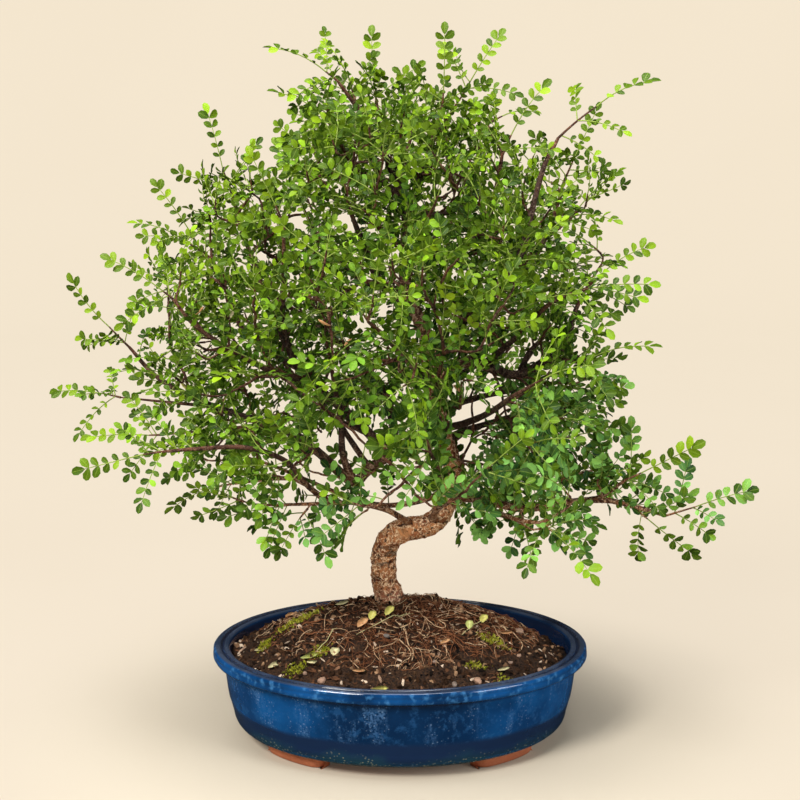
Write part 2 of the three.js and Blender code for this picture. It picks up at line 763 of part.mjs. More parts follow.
// Turns the spray about its own axis until it has room, or takes the turn that has the most.
function settle(shoot, index, woodPoints, leafPoints) {
  const length = shoot.aim.distanceTo(shoot.base);
  const firstSide = draw(index + 0.5) < 0.5 ? -1 : 1;
  const threeLeafed = THREE_LEAFED.includes(shoot.name);
  let best = { room: -1 };
  for (const side of [firstSide, -firstSide]) {
    const sides = threeLeafed ? [side, -side] : [side];
    for (const roll of ROLLS) {
      const axes = sprayAxes(shoot, roll);
      const probes = sprayProbes(length, sides).map(([x, y]) => sprayPoint(shoot, axes, length, x, y, 0));
      const room = roomAround(probes, shoot.base, woodPoints, leafPoints);
      if (room > best.room) best = { room, sides, axes, probes, length };
      if (room >= 1) return best;
    }
  }
  return best;
}

// How far along its own axis the stem starts, so that its square end clears the wood's square end.
function stemStart({ heading }, { ahead }) {
  const straight = heading.dot(ahead);
  const slant = Math.sqrt(Math.max(0, 1 - straight * straight));
  return (GAP + slant * (RIB_HALF_WIDTH + RIB_SWELL / 2)) / straight;
}

function spraySolid(shoot, { axes, length, sides }, index) {
  const pairs = Math.abs(shoot.aim.y) < OUTLINE_BAND ? 3 : 2;
  const points = sprayOutline(length, stemStart(shoot, axes), sides, pairs, index * 11);
  const outline = new THREE.Shape(points.map(([x, y]) => new THREE.Vector2(x, y)));
  const plate = new THREE.ExtrudeGeometry(outline, { depth: BLADE_THICKNESS, bevelEnabled: false });
  const place = (x, y, z) => sprayPoint(shoot, axes, length, x, y, z - BLADE_THICKNESS / 2);
  return solidOf(moveVertices(plate, place));
}

// Points along every limb and twig, with the wood's radius there.
function woodProbes(shoots) {
  const probes = [];
  for (const limb of Object.values(LIMBS)) {
    const curve = routeCurve(limb.route);
    const steps = limb.route.length * 5;
    for (let i = 0; i <= steps; i += 1) {
      probes.push({ point: curve.getPoint(i / steps), radius: limbRadius(limb, i / steps) });
    }
  }
  for (const { root, base } of shoots) {
    for (let i = 0; root && i <= 12; i += 1) {
      probes.push({ point: root.clone().lerp(base, i / 12), radius: TWIG_END });
    }
  }
  return probes;
}

// Leaves high up and to the left are young and yellow-green, the low and shaded ones are older.
function leafColour({ aim }) {
  return aim.z - aim.x / 3 > YOUNG_ABOVE ? COLOURS.youngLeaf : COLOURS.oldLeaf;
}

function build() {
  const group = new THREE.Group();
  const shoots = [
    ...Object.entries(LIMBS).map(([name, limb]) => endShoot(name, limb)),
    ...SIDE_SHOOTS.map(sideShoot),
  ];
  const limbs = Object.values(LIMBS).map((limb) => limbSolid(limb, 0));
  const twigs = shoots.filter((shoot) => shoot.root).map(twigSolid);
  const wood = wasm.Manifold.union([...limbs, ...twigs]).simplify(TOLERANCE);
  group.add(meshOf("pot", pot(), COLOURS.glaze));
  group.add(meshOf("soil", soil(), COLOURS.soil));
  group.add(meshOf("drain_mesh_left", drainMesh(-1), COLOURS.mesh));
  group.add(meshOf("drain_mesh_right", drainMesh(1), COLOURS.mesh));
  group.add(meshOf("tree_wood", wood, COLOURS.bark));
  const woodPoints = woodProbes(shoots);
  const leafPoints = [];
  shoots.forEach((shoot, index) => {
    const placed = settle(shoot, index, woodPoints, leafPoints);
    leafPoints.push(...placed.probes);
    group.add(meshOf(`spray_${shoot.name}`, spraySolid(shoot, placed, index), leafColour(shoot)));
  });
  return group;
}

export default build();
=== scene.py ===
"""A zanthoxylum bonsai in its glazed pot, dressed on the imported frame. Metres, +Z up, +Y to the back."""

import math

import bmesh
import bpy
import numpy as np
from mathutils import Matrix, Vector, noise


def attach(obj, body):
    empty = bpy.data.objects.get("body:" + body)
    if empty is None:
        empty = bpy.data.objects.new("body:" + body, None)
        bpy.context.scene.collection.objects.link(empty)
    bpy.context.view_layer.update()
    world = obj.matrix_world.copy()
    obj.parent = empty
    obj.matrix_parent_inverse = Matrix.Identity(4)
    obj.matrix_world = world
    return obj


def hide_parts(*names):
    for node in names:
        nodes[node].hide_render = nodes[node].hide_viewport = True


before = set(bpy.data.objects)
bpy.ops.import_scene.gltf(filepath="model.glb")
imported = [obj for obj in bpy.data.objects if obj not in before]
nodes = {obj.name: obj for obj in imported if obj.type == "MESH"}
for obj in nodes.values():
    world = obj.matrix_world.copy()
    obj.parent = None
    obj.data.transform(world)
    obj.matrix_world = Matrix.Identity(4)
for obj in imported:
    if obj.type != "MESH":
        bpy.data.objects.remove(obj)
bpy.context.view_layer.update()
MM = 0.001


# The pot. An oval stoneware bowl, thrown with a rolled lip and a groove inside it, on four low feet of
# the same clay. It is dipped in cobalt glaze, which stops just above the feet and leaves them bare.
OVAL = 194 / 250
POT_SIDES = 200
FLOOR_TOP = 12
OUTER_WALL = [
    (0, 6), (60, 6), (84, 6), (92, 6.1), (95.5, 6.4), (100, 7), (104, 7.9), (107, 9.3), (109.2, 11.2),
    (110.6, 13.2), (111.4, 15.2), (111.7, 16.6), (111.8, 17.8), (112.2, 19.4), (112.9, 22), (113.8, 25.5),
    (115, 29.5), (116, 36), (116.9, 44), (117.4, 49.5), (117.9, 52), (118.8, 53.4), (120.4, 53.9),
    (122.6, 54.2), (124.2, 55), (124.9, 56.2), (124.9, 57.6), (124.5, 58.4), (124.4, 59), (124.7, 59.8),
    (124.6, 60.9), (123.9, 61.9), (122.7, 62.6),
]
LIP_AND_INNER_WALL = [
    (121.2, 62.9), (120.1, 62.6), (119.4, 61.8), (118.9, 61.2), (118.4, 61.2), (117.9, 61.8), (117.2, 62.6),
    (116.1, 63), (114.9, 62.7), (114, 61.8), (113.5, 60.2), (112.6, 57), (110.4, 48), (107, 36),
    (101, 22), (96.5, 14), (95, 12.4), (92, FLOOR_TOP), (60, FLOOR_TOP), (0, FLOOR_TOP),
]
FOOT_RADII = (85.5, 101.6)
FOOT_ANGLES = (25.5, 61.8)
FOOT_TOP = 9
FOOT_ROUNDING = 1.6
DRAIN_RADIUS = 7 * MM
DRAIN_X = 46 * MM
CLAY_COLOUR = (0.50, 0.155, 0.066)


def new_object(name, mesh):
    piece = bpy.data.objects.new(name, mesh)
    bpy.context.scene.collection.objects.link(piece)
    return piece


def mesh_of(name, points, faces, smooth=True):
    mesh = bpy.data.meshes.new(name)
    mesh.from_pydata([tuple(point) for point in points], [], faces)
    mesh.update()
    mesh.shade_smooth() if smooth else mesh.shade_flat()
    return mesh


def bands(rows, sides, start=0, inward=False):
    """Four-sided faces between rings of points that follow one another."""
    faces = []
    for row in range(rows):
        for i in range(sides):
            a, b = start + row * sides + i, start + row * sides + (i + 1) % sides
            faces.append((a, a + sides, b + sides, b) if inward else (a, b, b + sides, a + sides))
    return faces


def lathe(profile, sides, wobble=0.0):
    """Points and faces of an oval turned from (radius, height) pairs in millimetres, from pole to pole."""
    points = []
    inner = profile[1:-1]
    for radius, height in inner:
        for i in range(sides):
            turn = math.tau * i / sides
            place = Vector((math.cos(turn) * 3, math.sin(turn) * 3, height / 30))
            grown = (radius + wobble * noise.noise(place)) * MM
            points.append((grown * math.cos(turn), grown * math.sin(turn) * OVAL, height * MM))
    faces = bands(len(inner) - 1, sides)
    bottom, top = len(points), len(points) + 1
    points += [(0, 0, profile[0][1] * MM), (0, 0, profile[-1][1] * MM)]
    last = (len(inner) - 1) * sides
    for i in range(sides):
        after = (i + 1) % sides
        faces.append((bottom, after, i))
        faces.append((top, last + i, last + after))
    return points, faces


def add_foot(points, faces, quarter, rounds=6, steps=16):
    """One long low foot that follows the oval, with a rounded lower edge and rounded ends."""
    middle = math.radians(sum(FOOT_ANGLES) / 2)
    half = math.radians(FOOT_ANGLES[1] - FOOT_ANGLES[0]) / 2
    low, high = FOOT_RADII
    rows = []
    section = [(0, FOOT_TOP), (0, 3.5)]
    for t in np.linspace(0, math.pi / 2, rounds):
        section.append((FOOT_ROUNDING * (1 - math.cos(t)), FOOT_ROUNDING * (1 - math.sin(t))))
    for i in range(steps + 1):
        share = i / steps * 2 - 1
        pinch = 1 - 0.10 * abs(share) ** 12
        drawn_in = [(inset + 0.25 * (FOOT_TOP - height), height) for inset, height in section]
        ring = [(high * pinch - inset, height) for inset, height in drawn_in]
        ring += [(low / pinch + inset, height) for inset, height in reversed(drawn_in)]
        taper = [half * share * (1 - 0.13 * (FOOT_TOP - height) / FOOT_TOP) for _, height in ring]
        rows.append(len(points))
        for (radius, height), offset in zip(ring, taper):
            turn = middle + offset
            x, y = math.cos(turn) * radius * MM, math.sin(turn) * radius * MM * OVAL
            x = -x if quarter in (1, 2) else x
            y = -y if quarter in (2, 3) else y
            points.append((x, y, height * MM))
    width = len(section) * 2
    faces += bands(steps, width, rows[0])
    faces.append(tuple(range(rows[0], rows[0] + width)))
    faces.append(tuple(reversed(range(rows[-1], rows[-1] + width))))


def mark(mesh, **marks):
    """Stores a number or a vector for each point of a mesh, under each name."""
    for name, values in marks.items():
        flat = np.array(values, float)
        kind, key = ("FLOAT_VECTOR", "vector") if flat.ndim == 2 else ("FLOAT", "value")
        mesh.attributes.new(name, kind, "POINT").data.foreach_set(key, flat.ravel())


def outward(mesh):
    """Turns every face outwards, after doubles are merged."""
    shape = bmesh.new()
    shape.from_mesh(mesh)
    bmesh.ops.remove_doubles(shape, verts=shape.verts, dist=1e-6)
    bmesh.ops.recalc_face_normals(shape, faces=shape.faces)
    shape.to_mesh(mesh)
    shape.free()
    return mesh


def finished(piece):
    """The piece's evaluated shape as its own plain mesh, with its modifiers gone."""
    bpy.context.view_layer.update()
    graph = bpy.context.evaluated_depsgraph_get()
    mesh = bpy.data.meshes.new_from_object(piece.evaluated_get(graph), depsgraph=graph)
    piece.modifiers.clear()
    piece.data = mesh
    return piece


def combine(piece, tool, operation):
    cut = piece.modifiers.new(operation.lower(), "BOOLEAN")
    cut.object = tool
    cut.operation = operation
    cut.solver = "MANIFOLD"
    finished(piece)
    bpy.data.objects.remove(tool)


pot = new_object("glazed_pot", outward(mesh_of(
    "glazed_pot", *lathe(OUTER_WALL + LIP_AND_INNER_WALL, POT_SIDES, wobble=0.35))))
foot_points, foot_faces = [], []
for quarter in range(4):
    add_foot(foot_points, foot_faces, quarter)
combine(pot, new_object("feet", outward(mesh_of("feet", foot_points, foot_faces))), "UNION")
for side in (-1, 1):
    ring = [(side * DRAIN_X + DRAIN_RADIUS * math.cos(turn), DRAIN_RADIUS * math.sin(turn))
            for turn in np.linspace(0, math.tau, 32, endpoint=False)]
    ends = [(x, y, 2 * MM) for x, y in ring] + [(x, y, 18 * MM) for x, y in ring]
    sides = [(i, (i + 1) % 32, 32 + (i + 1) % 32, 32 + i) for i in range(32)]
    caps = [tuple(reversed(range(32))), tuple(range(32, 64))]
    drill = new_object("drill", outward(mesh_of("drill", ends, sides + caps)))
    combine(pot, drill, "DIFFERENCE")
pot.data.shade_smooth()
pot.data.set_sharp_from_angle(angle=math.radians(50))


class Bench:
    """Holds the node tree that is being built, for the short words below."""
    tree = None


def feed(socket, value):
    """Links another node's output to an input, or sets the input's own value."""
    if isinstance(value, bpy.types.NodeSocket):
        Bench.tree.links.new(value, socket)
    else:
        socket.default_value = (*value, 1) if socket.type == "RGBA" else value


def put(kind, inputs=None, **settings):
    """Adds a node, with settings as its properties, and values or other nodes' outputs as its inputs."""
    node = Bench.tree.nodes.new(kind)
    for name, value in settings.items():
        setattr(node, name, value)
    for key, value in (inputs or {}).items():
        feed(node.inputs[key], value)
    return node


def math_of(operation, a, b=0.0, c=0.0):
    return put("ShaderNodeMath", {0: a, 1: b, 2: c}, operation=operation).outputs[0]


def times(a, b):
    return math_of("MULTIPLY", a, b)


def times_plus(a, b, c):
    return math_of("MULTIPLY_ADD", a, b, c)


def fade(value, low, high):
    """0 at low and 1 at high, with a soft start and end. Low may be above high."""
    inputs = {"Value": value, "From Min": low, "From Max": high}
    return put("ShaderNodeMapRange", inputs, interpolation_type="SMOOTHSTEP").outputs[0]


def blend(share, a, b):
    """Colour a where the share is 0 and colour b where it is 1."""
    return put("ShaderNodeMix", {"Factor": share, 6: a, 7: b}, data_type="RGBA").outputs[2]


def clouds(place, scale, detail, roughness=0.5):
    inputs = {"Vector": place, "Scale": scale, "Detail": detail, "Roughness": roughness}
    return put("ShaderNodeTexNoise", inputs).outputs["Fac"]


def mark_at(name, output="Fac"):
    """What a mesh has stored at each point under this name."""
    return put("ShaderNodeAttribute", attribute_name=name).outputs[output]


def xyz(*parts):
    return put("ShaderNodeCombineXYZ", dict(enumerate(parts))).outputs[0]


def height_at(place):
    return put("ShaderNodeSeparateXYZ", {0: place}).outputs[2]


def speckle_group():
    """Cloudy patches and fine grain at a point, both from 0 to 1: used by every finish."""
    Bench.tree = tree = bpy.data.node_groups.new("patches and grain", "ShaderNodeTree")
    for name, kind, start in (("Vector", "Vector", (0, 0, 0)), ("Patch Scale", "Float", 60.0),
                              ("Grain Scale", "Float", 600.0)):
        socket = tree.interface.new_socket(name, in_out="INPUT", socket_type="NodeSocket" + kind)
        socket.default_value = start
    for name in ("Patches", "Grain"):
        tree.interface.new_socket(name, in_out="OUTPUT", socket_type="NodeSocketFloat")
    ins = tree.nodes.new("NodeGroupInput").outputs
    outs = tree.nodes.new("NodeGroupOutput").inputs
    for name, scale, detail in (("Patches", "Patch Scale", 4.0), ("Grain", "Grain Scale", 3.0)):
        feed(outs[name], fade(clouds(ins["Vector"], ins[scale], detail), 0.3, 0.7))
    return tree


SPECKLE = speckle_group()


def new_material(name, patch_scale, grain_scale, **constants):
    """A material, its constant numbers set, with the place on the piece, patches and grain to work from."""
    material = bpy.data.materials.new(name)
    material.use_nodes = True
    Bench.tree = material.node_tree
    for key, value in constants.items():
        Bench.tree.nodes["Principled BSDF"].inputs[key.replace("_", " ")].default_value = value
    place = put("ShaderNodeTexCoord").outputs["Object"]
    speckle = put("ShaderNodeGroup", node_tree=SPECKLE)
    for key, value in (("Vector", place), ("Patch Scale", patch_scale), ("Grain Scale", grain_scale)):
        feed(speckle.inputs[key], value)
    return material, place, speckle.outputs["Patches"], speckle.outputs["Grain"]


def coated(material, colour, roughness=None, relief=None, glow=None):
    """Feeds the shader. Relief is a height, how strongly it shows, and how deep it is in metres."""
    shader = Bench.tree.nodes["Principled BSDF"]
    for name, value in (("Base Color", colour), ("Roughness", roughness), ("Emission Color", glow)):
        if value:
            feed(shader.inputs[name], value)
    if relief:
        inputs = dict(zip(("Height", "Strength", "Distance"), relief))
        feed(shader.inputs["Normal"], put("ShaderNodeBump", inputs).outputs[0])
    return material


def glaze_material():
    material, place, patches, grain = new_material("cobalt_glaze", 38.0, 900.0, IOR=1.5)
    x, y, z = put("ShaderNodeSeparateXYZ", {0: place}).outputs
    across = xyz(x, math_of("DIVIDE", y, OVAL))
    radius = put("ShaderNodeVectorMath", {0: across}, operation="LENGTH").outputs["Value"]
    colour = blend(patches, (0.002, 0.030, 0.110), (0.004, 0.070, 0.235))
    # The wall is coloured darker towards its middle, front and back.
    thick = times(fade(math_of("ABSOLUTE", x), 0.075, 0.025), 0.82)
    colour = blend(thick, colour, (0.001, 0.010, 0.036))

    # Paler runs hang under the lip, with pale flecks.
    drawn_out = put("ShaderNodeMapping", {"Vector": place, "Scale": (1, 1, 0.24)}).outputs[0]
    runs = clouds(drawn_out, 95.0, 5.0, 0.62)
    run = times(fade(runs, 0.5, 0.72), fade(z, 0.016, 0.03))
    run = times(run, fade(z, 0.0545, 0.049))
    run = times(run, fade(clouds(place, 700.0, 3.0), 0.36, 0.6))
    colour = blend(times(run, 0.6), colour, (0.065, 0.175, 0.38))
    haze = fade(clouds(place, 170.0, 5.0, 0.7), 0.5, 0.66)
    colour = blend(times(haze, 0.35), colour, (0.020, 0.100, 0.270))
    flecks = put("ShaderNodeTexVoronoi", {"Vector": place, "Scale": 420.0}).outputs["Distance"]
    fleck = times(fade(flecks, 0.26, 0.12), fade(runs, 0.42, 0.62))
    colour = blend(times(fleck, 0.35), colour, (0.24, 0.36, 0.54))

    # The lip: brighter where the glaze pools on its front, thin and brownish on top and at its edges.
    front = times(fade(radius, 0.1195, 0.1235), fade(z, 0.0545, 0.0565))
    pooled = blend(patches, (0.002, 0.020, 0.070), (0.005, 0.062, 0.210))
    mottles = clouds(place, 210.0, 4.0)
    pooled = blend(times(fade(mottles, 0.5, 0.7), 0.6), pooled, (0.05, 0.19, 0.42))
    colour = blend(front, colour, pooled)
    top = times(fade(z, 0.0608, 0.0624), fade(radius, 0.1242, 0.1226))
    worn = blend(patches, (0.010, 0.022, 0.052), (0.048, 0.064, 0.105))
    colour = blend(top, colour, worn)
    # Painted shade: the groove in the top of the lip is painted near black.
    ragged = times_plus(grain, 0.0012, radius)
    groove = times(fade(ragged, 0.1178, 0.119), fade(ragged, 0.1212, 0.12))
    groove = times(groove, fade(z, 0.06, 0.0612))
    colour = blend(times(groove, 0.8), colour, (0.016, 0.012, 0.014))
    # Painted shadow: the wall just under the lip's overhang is painted darker.
    under = times(fade(z, 0.0505, 0.053), fade(z, 0.0556, 0.0545))
    colour = blend(times(under, 0.75), colour, (0.006, 0.012, 0.035))
    # Painted shade: the inner wall above the soil is painted a darker blue.
    inside = fade(radius, 0.1146, 0.1134)
    inside = times(inside, fade(z, 0.011, 0.013))
    colour = blend(inside, colour, (0.006, 0.018, 0.055))

    # Near the foot the glaze turns sea green and thins to a speckled edge, and below it the clay is bare.
    uneven = times_plus(patches, 0.007, z)
    green = times(fade(uneven, 0.023, 0.011), 0.7)
    colour = blend(green, colour, (0.012, 0.052, 0.066))
    freckle = times(fade(flecks, 0.3, 0.16), fade(uneven, 0.022, 0.013))
    colour = blend(times(freckle, 0.55), colour, (0.30, 0.30, 0.20))
    frayed = times_plus(grain, 0.0022, z)
    edge = times(fade(frayed, 0.0118, 0.0094), fade(grain, 0.35, 0.75))
    colour = blend(times(edge, 0.8), colour, (0.30, 0.27, 0.17))
    bare = fade(frayed, 0.0088, 0.0079)
    clay = blend(patches, CLAY_COLOUR, (0.32, 0.085, 0.034))
    clay = blend(times(grain, 0.35), clay, (0.48, 0.17, 0.075))
    colour = blend(bare, colour, clay)
    gloss = times_plus(run, 0.2, times_plus(patches, 0.05, 0.045))
    dull = put("ShaderNodeMix", {0: bare, 2: gloss, 3: 0.85}).outputs[0]
    pitted = times_plus(grain, 0.07, clouds(place, 110.0, 1.0))
    return coated(material, colour, dull, (pitted, 0.25, 0.0006))


pot.data.materials.clear()
pot.data.materials.append(glaze_material())
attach(pot, "root")
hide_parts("pot")


# The drainage screens. A square of black plastic mesh lies over each of the two holes in the pot's floor
# and keeps the soil in. Their shapes come from the frame, and only their finish is made here.
def screen_material():
    material, place, patches, grain = new_material("black_plastic_mesh", 150.0, 1500.0)
    colour = blend(patches, (0.008, 0.008, 0.009), (0.03, 0.027, 0.024))
    return coated(material, colour, times_plus(grain, 0.25, 0.5))


screen_finish = screen_material()
for name in ("drain_mesh_left", "drain_mesh_right"):
    nodes[name].data.materials.clear()
    nodes[name].data.materials.append(screen_finish)


# The soil. A mound of dark, rooty potting soil, highest at the foot of the trunk and lowest at the lip.
# It is packed into the pot, and its loose top is uneven.
SOIL_EDGE_RADIUS = 112.3
SOIL_EDGE_HEIGHT = 57
SOIL_RISE = 32
SOIL_PEAK = (-6, 10)
SOIL_UNDER = [(0, 13.4), (60, 13.4), (94, 13.4), (100, 22), (106.4, 36), (108.2, 42)]
SOIL_RINGS = 72
SOIL_SIDES = 230
SUNK_BEHIND = 6
SUNK_RIGHT = 3


def sunk(x, y):
    """How far the soil has sunk behind the trunk and at the right, in millimetres."""
    behind, right = (min(1, max(0, far)) for far in ((y - 4) / 42, (x - 55) / 45))
    return SUNK_BEHIND * behind * behind * (3 - 2 * behind) + SUNK_RIGHT * right * right * (3 - 2 * right)


def soil_point(share, turn):
    """The smooth mound, in millimetres: share is 0 at its top and 1 at the pot's wall."""
    x = SOIL_EDGE_RADIUS * share * math.cos(turn) + SOIL_PEAK[0] * (1 - share)
    y = SOIL_EDGE_RADIUS * share * math.sin(turn) * OVAL + SOIL_PEAK[1] * (1 - share)
    clear_of_wall = 1 - 0.0026 * sunk(x, y) * share ** 8
    height = SOIL_EDGE_HEIGHT + SOIL_RISE * (1 - share * share)
    return Vector((x * clear_of_wall, y * clear_of_wall, height))


def soil_lumps(x, y, share):
    """How far the loose top stands above the smooth mound, or below it where it has sunk, in millimetres."""
    clods = noise.fractal(Vector((x / 17, y / 17, 3.0)), 1.0, 2.0, 4) * 2.0
    crumbs = abs(noise.noise(Vector((x / 3.4, y / 3.4, 9.0)))) * 2.6 - 0.9
    hump = 4.5 * math.exp(-((x - 20) ** 2 + (y - 4) ** 2) / 150)
    return (clods + crumbs) * min(1, (1 - share) * 12) + hump - sunk(x, y)


def soil_height(x, y):
    """The height of the mound at a place, in millimetres, found by halving."""
    low, high = 0.0, 1.0
    for _ in range(24):
        share = (low + high) / 2
        across = math.hypot(x - SOIL_PEAK[0] * (1 - share), (y - SOIL_PEAK[1] * (1 - share)) / OVAL)
        low, high = (share, high) if across > SOIL_EDGE_RADIUS * share else (low, share)
    return SOIL_EDGE_HEIGHT + SOIL_RISE * (1 - low * low) + soil_lumps(x, y, low)


def soil_mesh():
    profile = [*SOIL_UNDER, *[(SOIL_EDGE_RADIUS * i / SOIL_RINGS, 0) for i in range(SOIL_RINGS, -1, -1)]]
    points, faces = lathe(profile, SOIL_SIDES)
    under = len(SOIL_UNDER) - 1
    for ring in range(SOIL_RINGS):
        share = 1 - ring / SOIL_RINGS
        for i in range(SOIL_SIDES):
            smooth = soil_point(share, math.tau * i / SOIL_SIDES)
            smooth.z += soil_lumps(smooth.x, smooth.y, share)
            points[(under + ring) * SOIL_SIDES + i] = tuple(smooth * MM)
    top = soil_point(0, 0)
    points[-1] = (top.x * MM, top.y * MM, (top.z + soil_lumps(top.x, top.y, 0)) * MM)
    return outward(mesh_of("packed_soil", points, faces))


def soil_material():
    material, place, patches, grain = new_material("potting_soil", 90.0, 700.0, Specular_IOR_Level=0.25)
    colour = blend(patches, (0.002, 0.001, 0.0007), (0.018, 0.008, 0.004))
    colour = blend(times(grain, 0.45), colour, (0.13, 0.060, 0.028))
    return coated(material, colour, times_plus(grain, 0.2, 0.75), (grain, 0.8, 0.0012))


soil = new_object("packed_soil", soil_mesh())
soil.data.materials.append(soil_material())
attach(soil, "root")
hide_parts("soil")


# The loose litter on the soil. Dark crumbs and flakes of bark lie all over the mound, sunk a little into it.
# They are strewn at random, and each is a small rough lump or a thin chip.
def read(name, kind="FLOAT"):
    return put("GeometryNodeInputNamedAttribute", {"Name": name}, data_type=kind).outputs["Attribute"]


def keep(geometry, name, value, kind="FLOAT", domain="POINT"):
    return put("GeometryNodeStoreNamedAttribute", {"Geometry": geometry, "Name": name, "Value": value},
               data_type=kind, domain=domain).outputs[0]


def random_of(ins, low, high, number):
    """A random float, different for each numbered use in a tree."""
    inputs = {2: low, 3: high, "Seed": math_of("ADD", ins["Seed"], float(number))}
    return put("FunctionNodeRandomValue", inputs, data_type="FLOAT").outputs[1]


def vector_of(operation, a, b=(0, 0, 0), scale=1.0):
    inputs = {0: a, 1: b} if operation != "SCALE" else {0: a, "Scale": scale}
    return put("ShaderNodeVectorMath", inputs, operation=operation).outputs[0]


def new_tree(name, sockets):
    """A Geometry Nodes tree with a geometry in and out, and named inputs with their starting values."""
    Bench.tree = tree = bpy.data.node_groups.new(name, "GeometryNodeTree")
    tree.interface.new_socket("Geometry", in_out="INPUT", socket_type="NodeSocketGeometry")
    for label, (kind, start) in sockets.items():
        socket = tree.interface.new_socket(label, in_out="INPUT", socket_type="NodeSocket" + kind)
        if start is not None:
            socket.default_value = start
    tree.interface.new_socket("Geometry", in_out="OUTPUT", socket_type="NodeSocketGeometry")
    return tree, tree.nodes.new("NodeGroupInput").outputs, tree.nodes.new("NodeGroupOutput").inputs


def planted(instance, turn, scale, tint, **points):
    """Instances on points, each with its own tint."""
    inputs = {"Instance": instance, "Rotation": turn, "Scale": scale, **points}
    placed = put("GeometryNodeInstanceOnPoints", inputs).outputs[0]
    return keep(placed, "tint", tint, domain="INSTANCE")


def ended(tree, geometry, ins, outs):
    """The last step of a tree: its material."""
    finish = {"Geometry": geometry, "Material": ins["Finish"]}
    feed(outs[0], put("GeometryNodeSetMaterial", finish).outputs[0])
    return tree


def grown(piece, tree, **values):
    """Runs a tree on a piece with these inputs and leaves the result as its plain mesh."""
    growth = piece.modifiers.new(tree.name, "NODES")
    growth.node_group = tree
    keys = {item.name: item.identifier for item in tree.interface.items_tree if item.in_out == "INPUT"}
    for name, value in values.items():
        growth[keys[name.replace("_", " ")]] = value
    return finished(piece)


def strewing_tree():
    tree, ins, outs = new_tree("strewn over a surface", {
        "Chip": ("Object", None), "Count": ("Float", 1000.0), "Smallest": ("Float", 0.001),
        "Largest": ("Float", 0.003), "Lean": ("Float", 0.5), "Roughness": ("Float", 0.3),
        "Seed": ("Float", 1.0), "Finish": ("Material", None)})
    spread = put("GeometryNodeDistributePointsOnFaces", {
        "Mesh": ins["Geometry"], "Seed": ins["Seed"], "Density": times(ins["Count"], read("cover"))})
    chip = put("GeometryNodeObjectInfo", {"Object": ins["Chip"]}).outputs["Geometry"]
    lean = [random_of(ins, times(ins["Lean"], -1.0), ins["Lean"], n) for n in (1, 2)]
    turn = xyz(*lean, random_of(ins, 0.0, math.tau, 3))
    turned = put("FunctionNodeRotateRotation", {0: spread.outputs["Rotation"], 1: turn},
                 rotation_space="LOCAL").outputs[0]
    drawn = math_of("POWER", random_of(ins, 0.0, 1.0, 4), 2.0)
    size = put("ShaderNodeMapRange", {"Value": drawn, 3: ins["Smallest"], 4: ins["Largest"]}).outputs[0]
    scale = xyz(*[times(size, random_of(ins, 0.7, 1.3, n)) for n in (5, 6, 7)])
    placed = planted(chip, turned, scale, random_of(ins, 0.0, 1.0, 8), Points=spread.outputs["Points"])
    real = put("GeometryNodeRealizeInstances", {"Geometry": placed}).outputs[0]
    rough = put("ShaderNodeTexNoise", {"Scale": 700.0, "Detail": 1.0}).outputs["Color"]
    shift = vector_of("SUBTRACT", rough, (0.5, 0.5, 0.5))
    reach = times(ins["Roughness"], ins["Largest"])
    real = put("GeometryNodeSetPosition", {
        "Geometry": real, "Offset": vector_of("SCALE", shift, scale=reach)}).outputs[0]
    return ended(tree, real, ins, outs)


def lump(name, levels, stretch):
    """A small rough lump of about one unit, to be strewn."""
    shape = bmesh.new()
    bmesh.ops.create_icosphere(shape, subdivisions=levels, radius=0.5)
    for vertex in shape.verts:
        vertex.co *= 1 + 0.35 * noise.noise(vertex.co * 3.1)
        vertex.co = Vector(a * b for a, b in zip(vertex.co, stretch))
    mesh = bpy.data.meshes.new(name)
    shape.to_mesh(mesh)
    shape.free()
    return new_object(name, mesh)


def soil_top(name, cover):
    """The mound's top as a patch to strew on, with its cover from 0 to 1 at each point."""
    points, covers = [], []
    rings, sides = 40, 120
    for ring in range(rings + 1):
        share = 0.985 * ring / rings
        for i in range(sides):
            place = soil_point(share, math.tau * i / sides)
            place.z += soil_lumps(place.x, place.y, share)
            points.append(tuple(place * MM))
            covers.append(cover(place.x, place.y, share))
    patch = new_object(name, mesh_of(name, points, bands(rings, sides, inward=True)))
    mark(patch.data, cover=covers)
    return patch


def litter_material(name, dark, light, pale, gloss=0.85):
    material, place, patches, grain = new_material(
        name, 500.0, 1800.0, Specular_IOR_Level=0.15, Roughness=gloss)
    tint = mark_at("tint")
    colour = blend(tint, dark, light)
    colour = blend(fade(tint, 0.76, 0.9), colour, pale)
    colour = blend(times(patches, 0.45), colour, dark)
    return coated(material, colour, relief=(grain, 0.5, 0.0004))


STREWING = strewing_tree()
LITTER = {
    # name: chip, count a square metre, smallest, largest, lean, roughness, seed, cover, colours
    "soil_crumbs": (lump("crumb", 1, (1.25, 1, 0.6)), 66e3, 0.0012, 0.0044, 3.0, 0.5, 11,
                    lambda x, y, s: 1.0,
                    ((0.003, 0.0015, 0.001), (0.070, 0.030, 0.012), (0.40, 0.235, 0.130))),
    "bark_chips": (lump("chip", 1, (2.6, 1.0, 0.3)), 60e3, 0.0009, 0.0030, 0.7, 0.25, 23,
                   lambda x, y, s: 0.5 + 0.5 * (x < -10),
                   ((0.035, 0.013, 0.006), (0.28, 0.125, 0.060), (0.80, 0.62, 0.46))),
}
for name, (chip, count, small, large, lean, rough, seed, cover, colours) in LITTER.items():
    patch = soil_top(name, cover)
    grown(patch, STREWING, Chip=chip, Count=count, Smallest=small, Largest=large, Lean=lean,
          Roughness=rough, Seed=float(seed), Finish=litter_material(name, *colours))
    bpy.data.objects.remove(chip)
    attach(patch, "root")


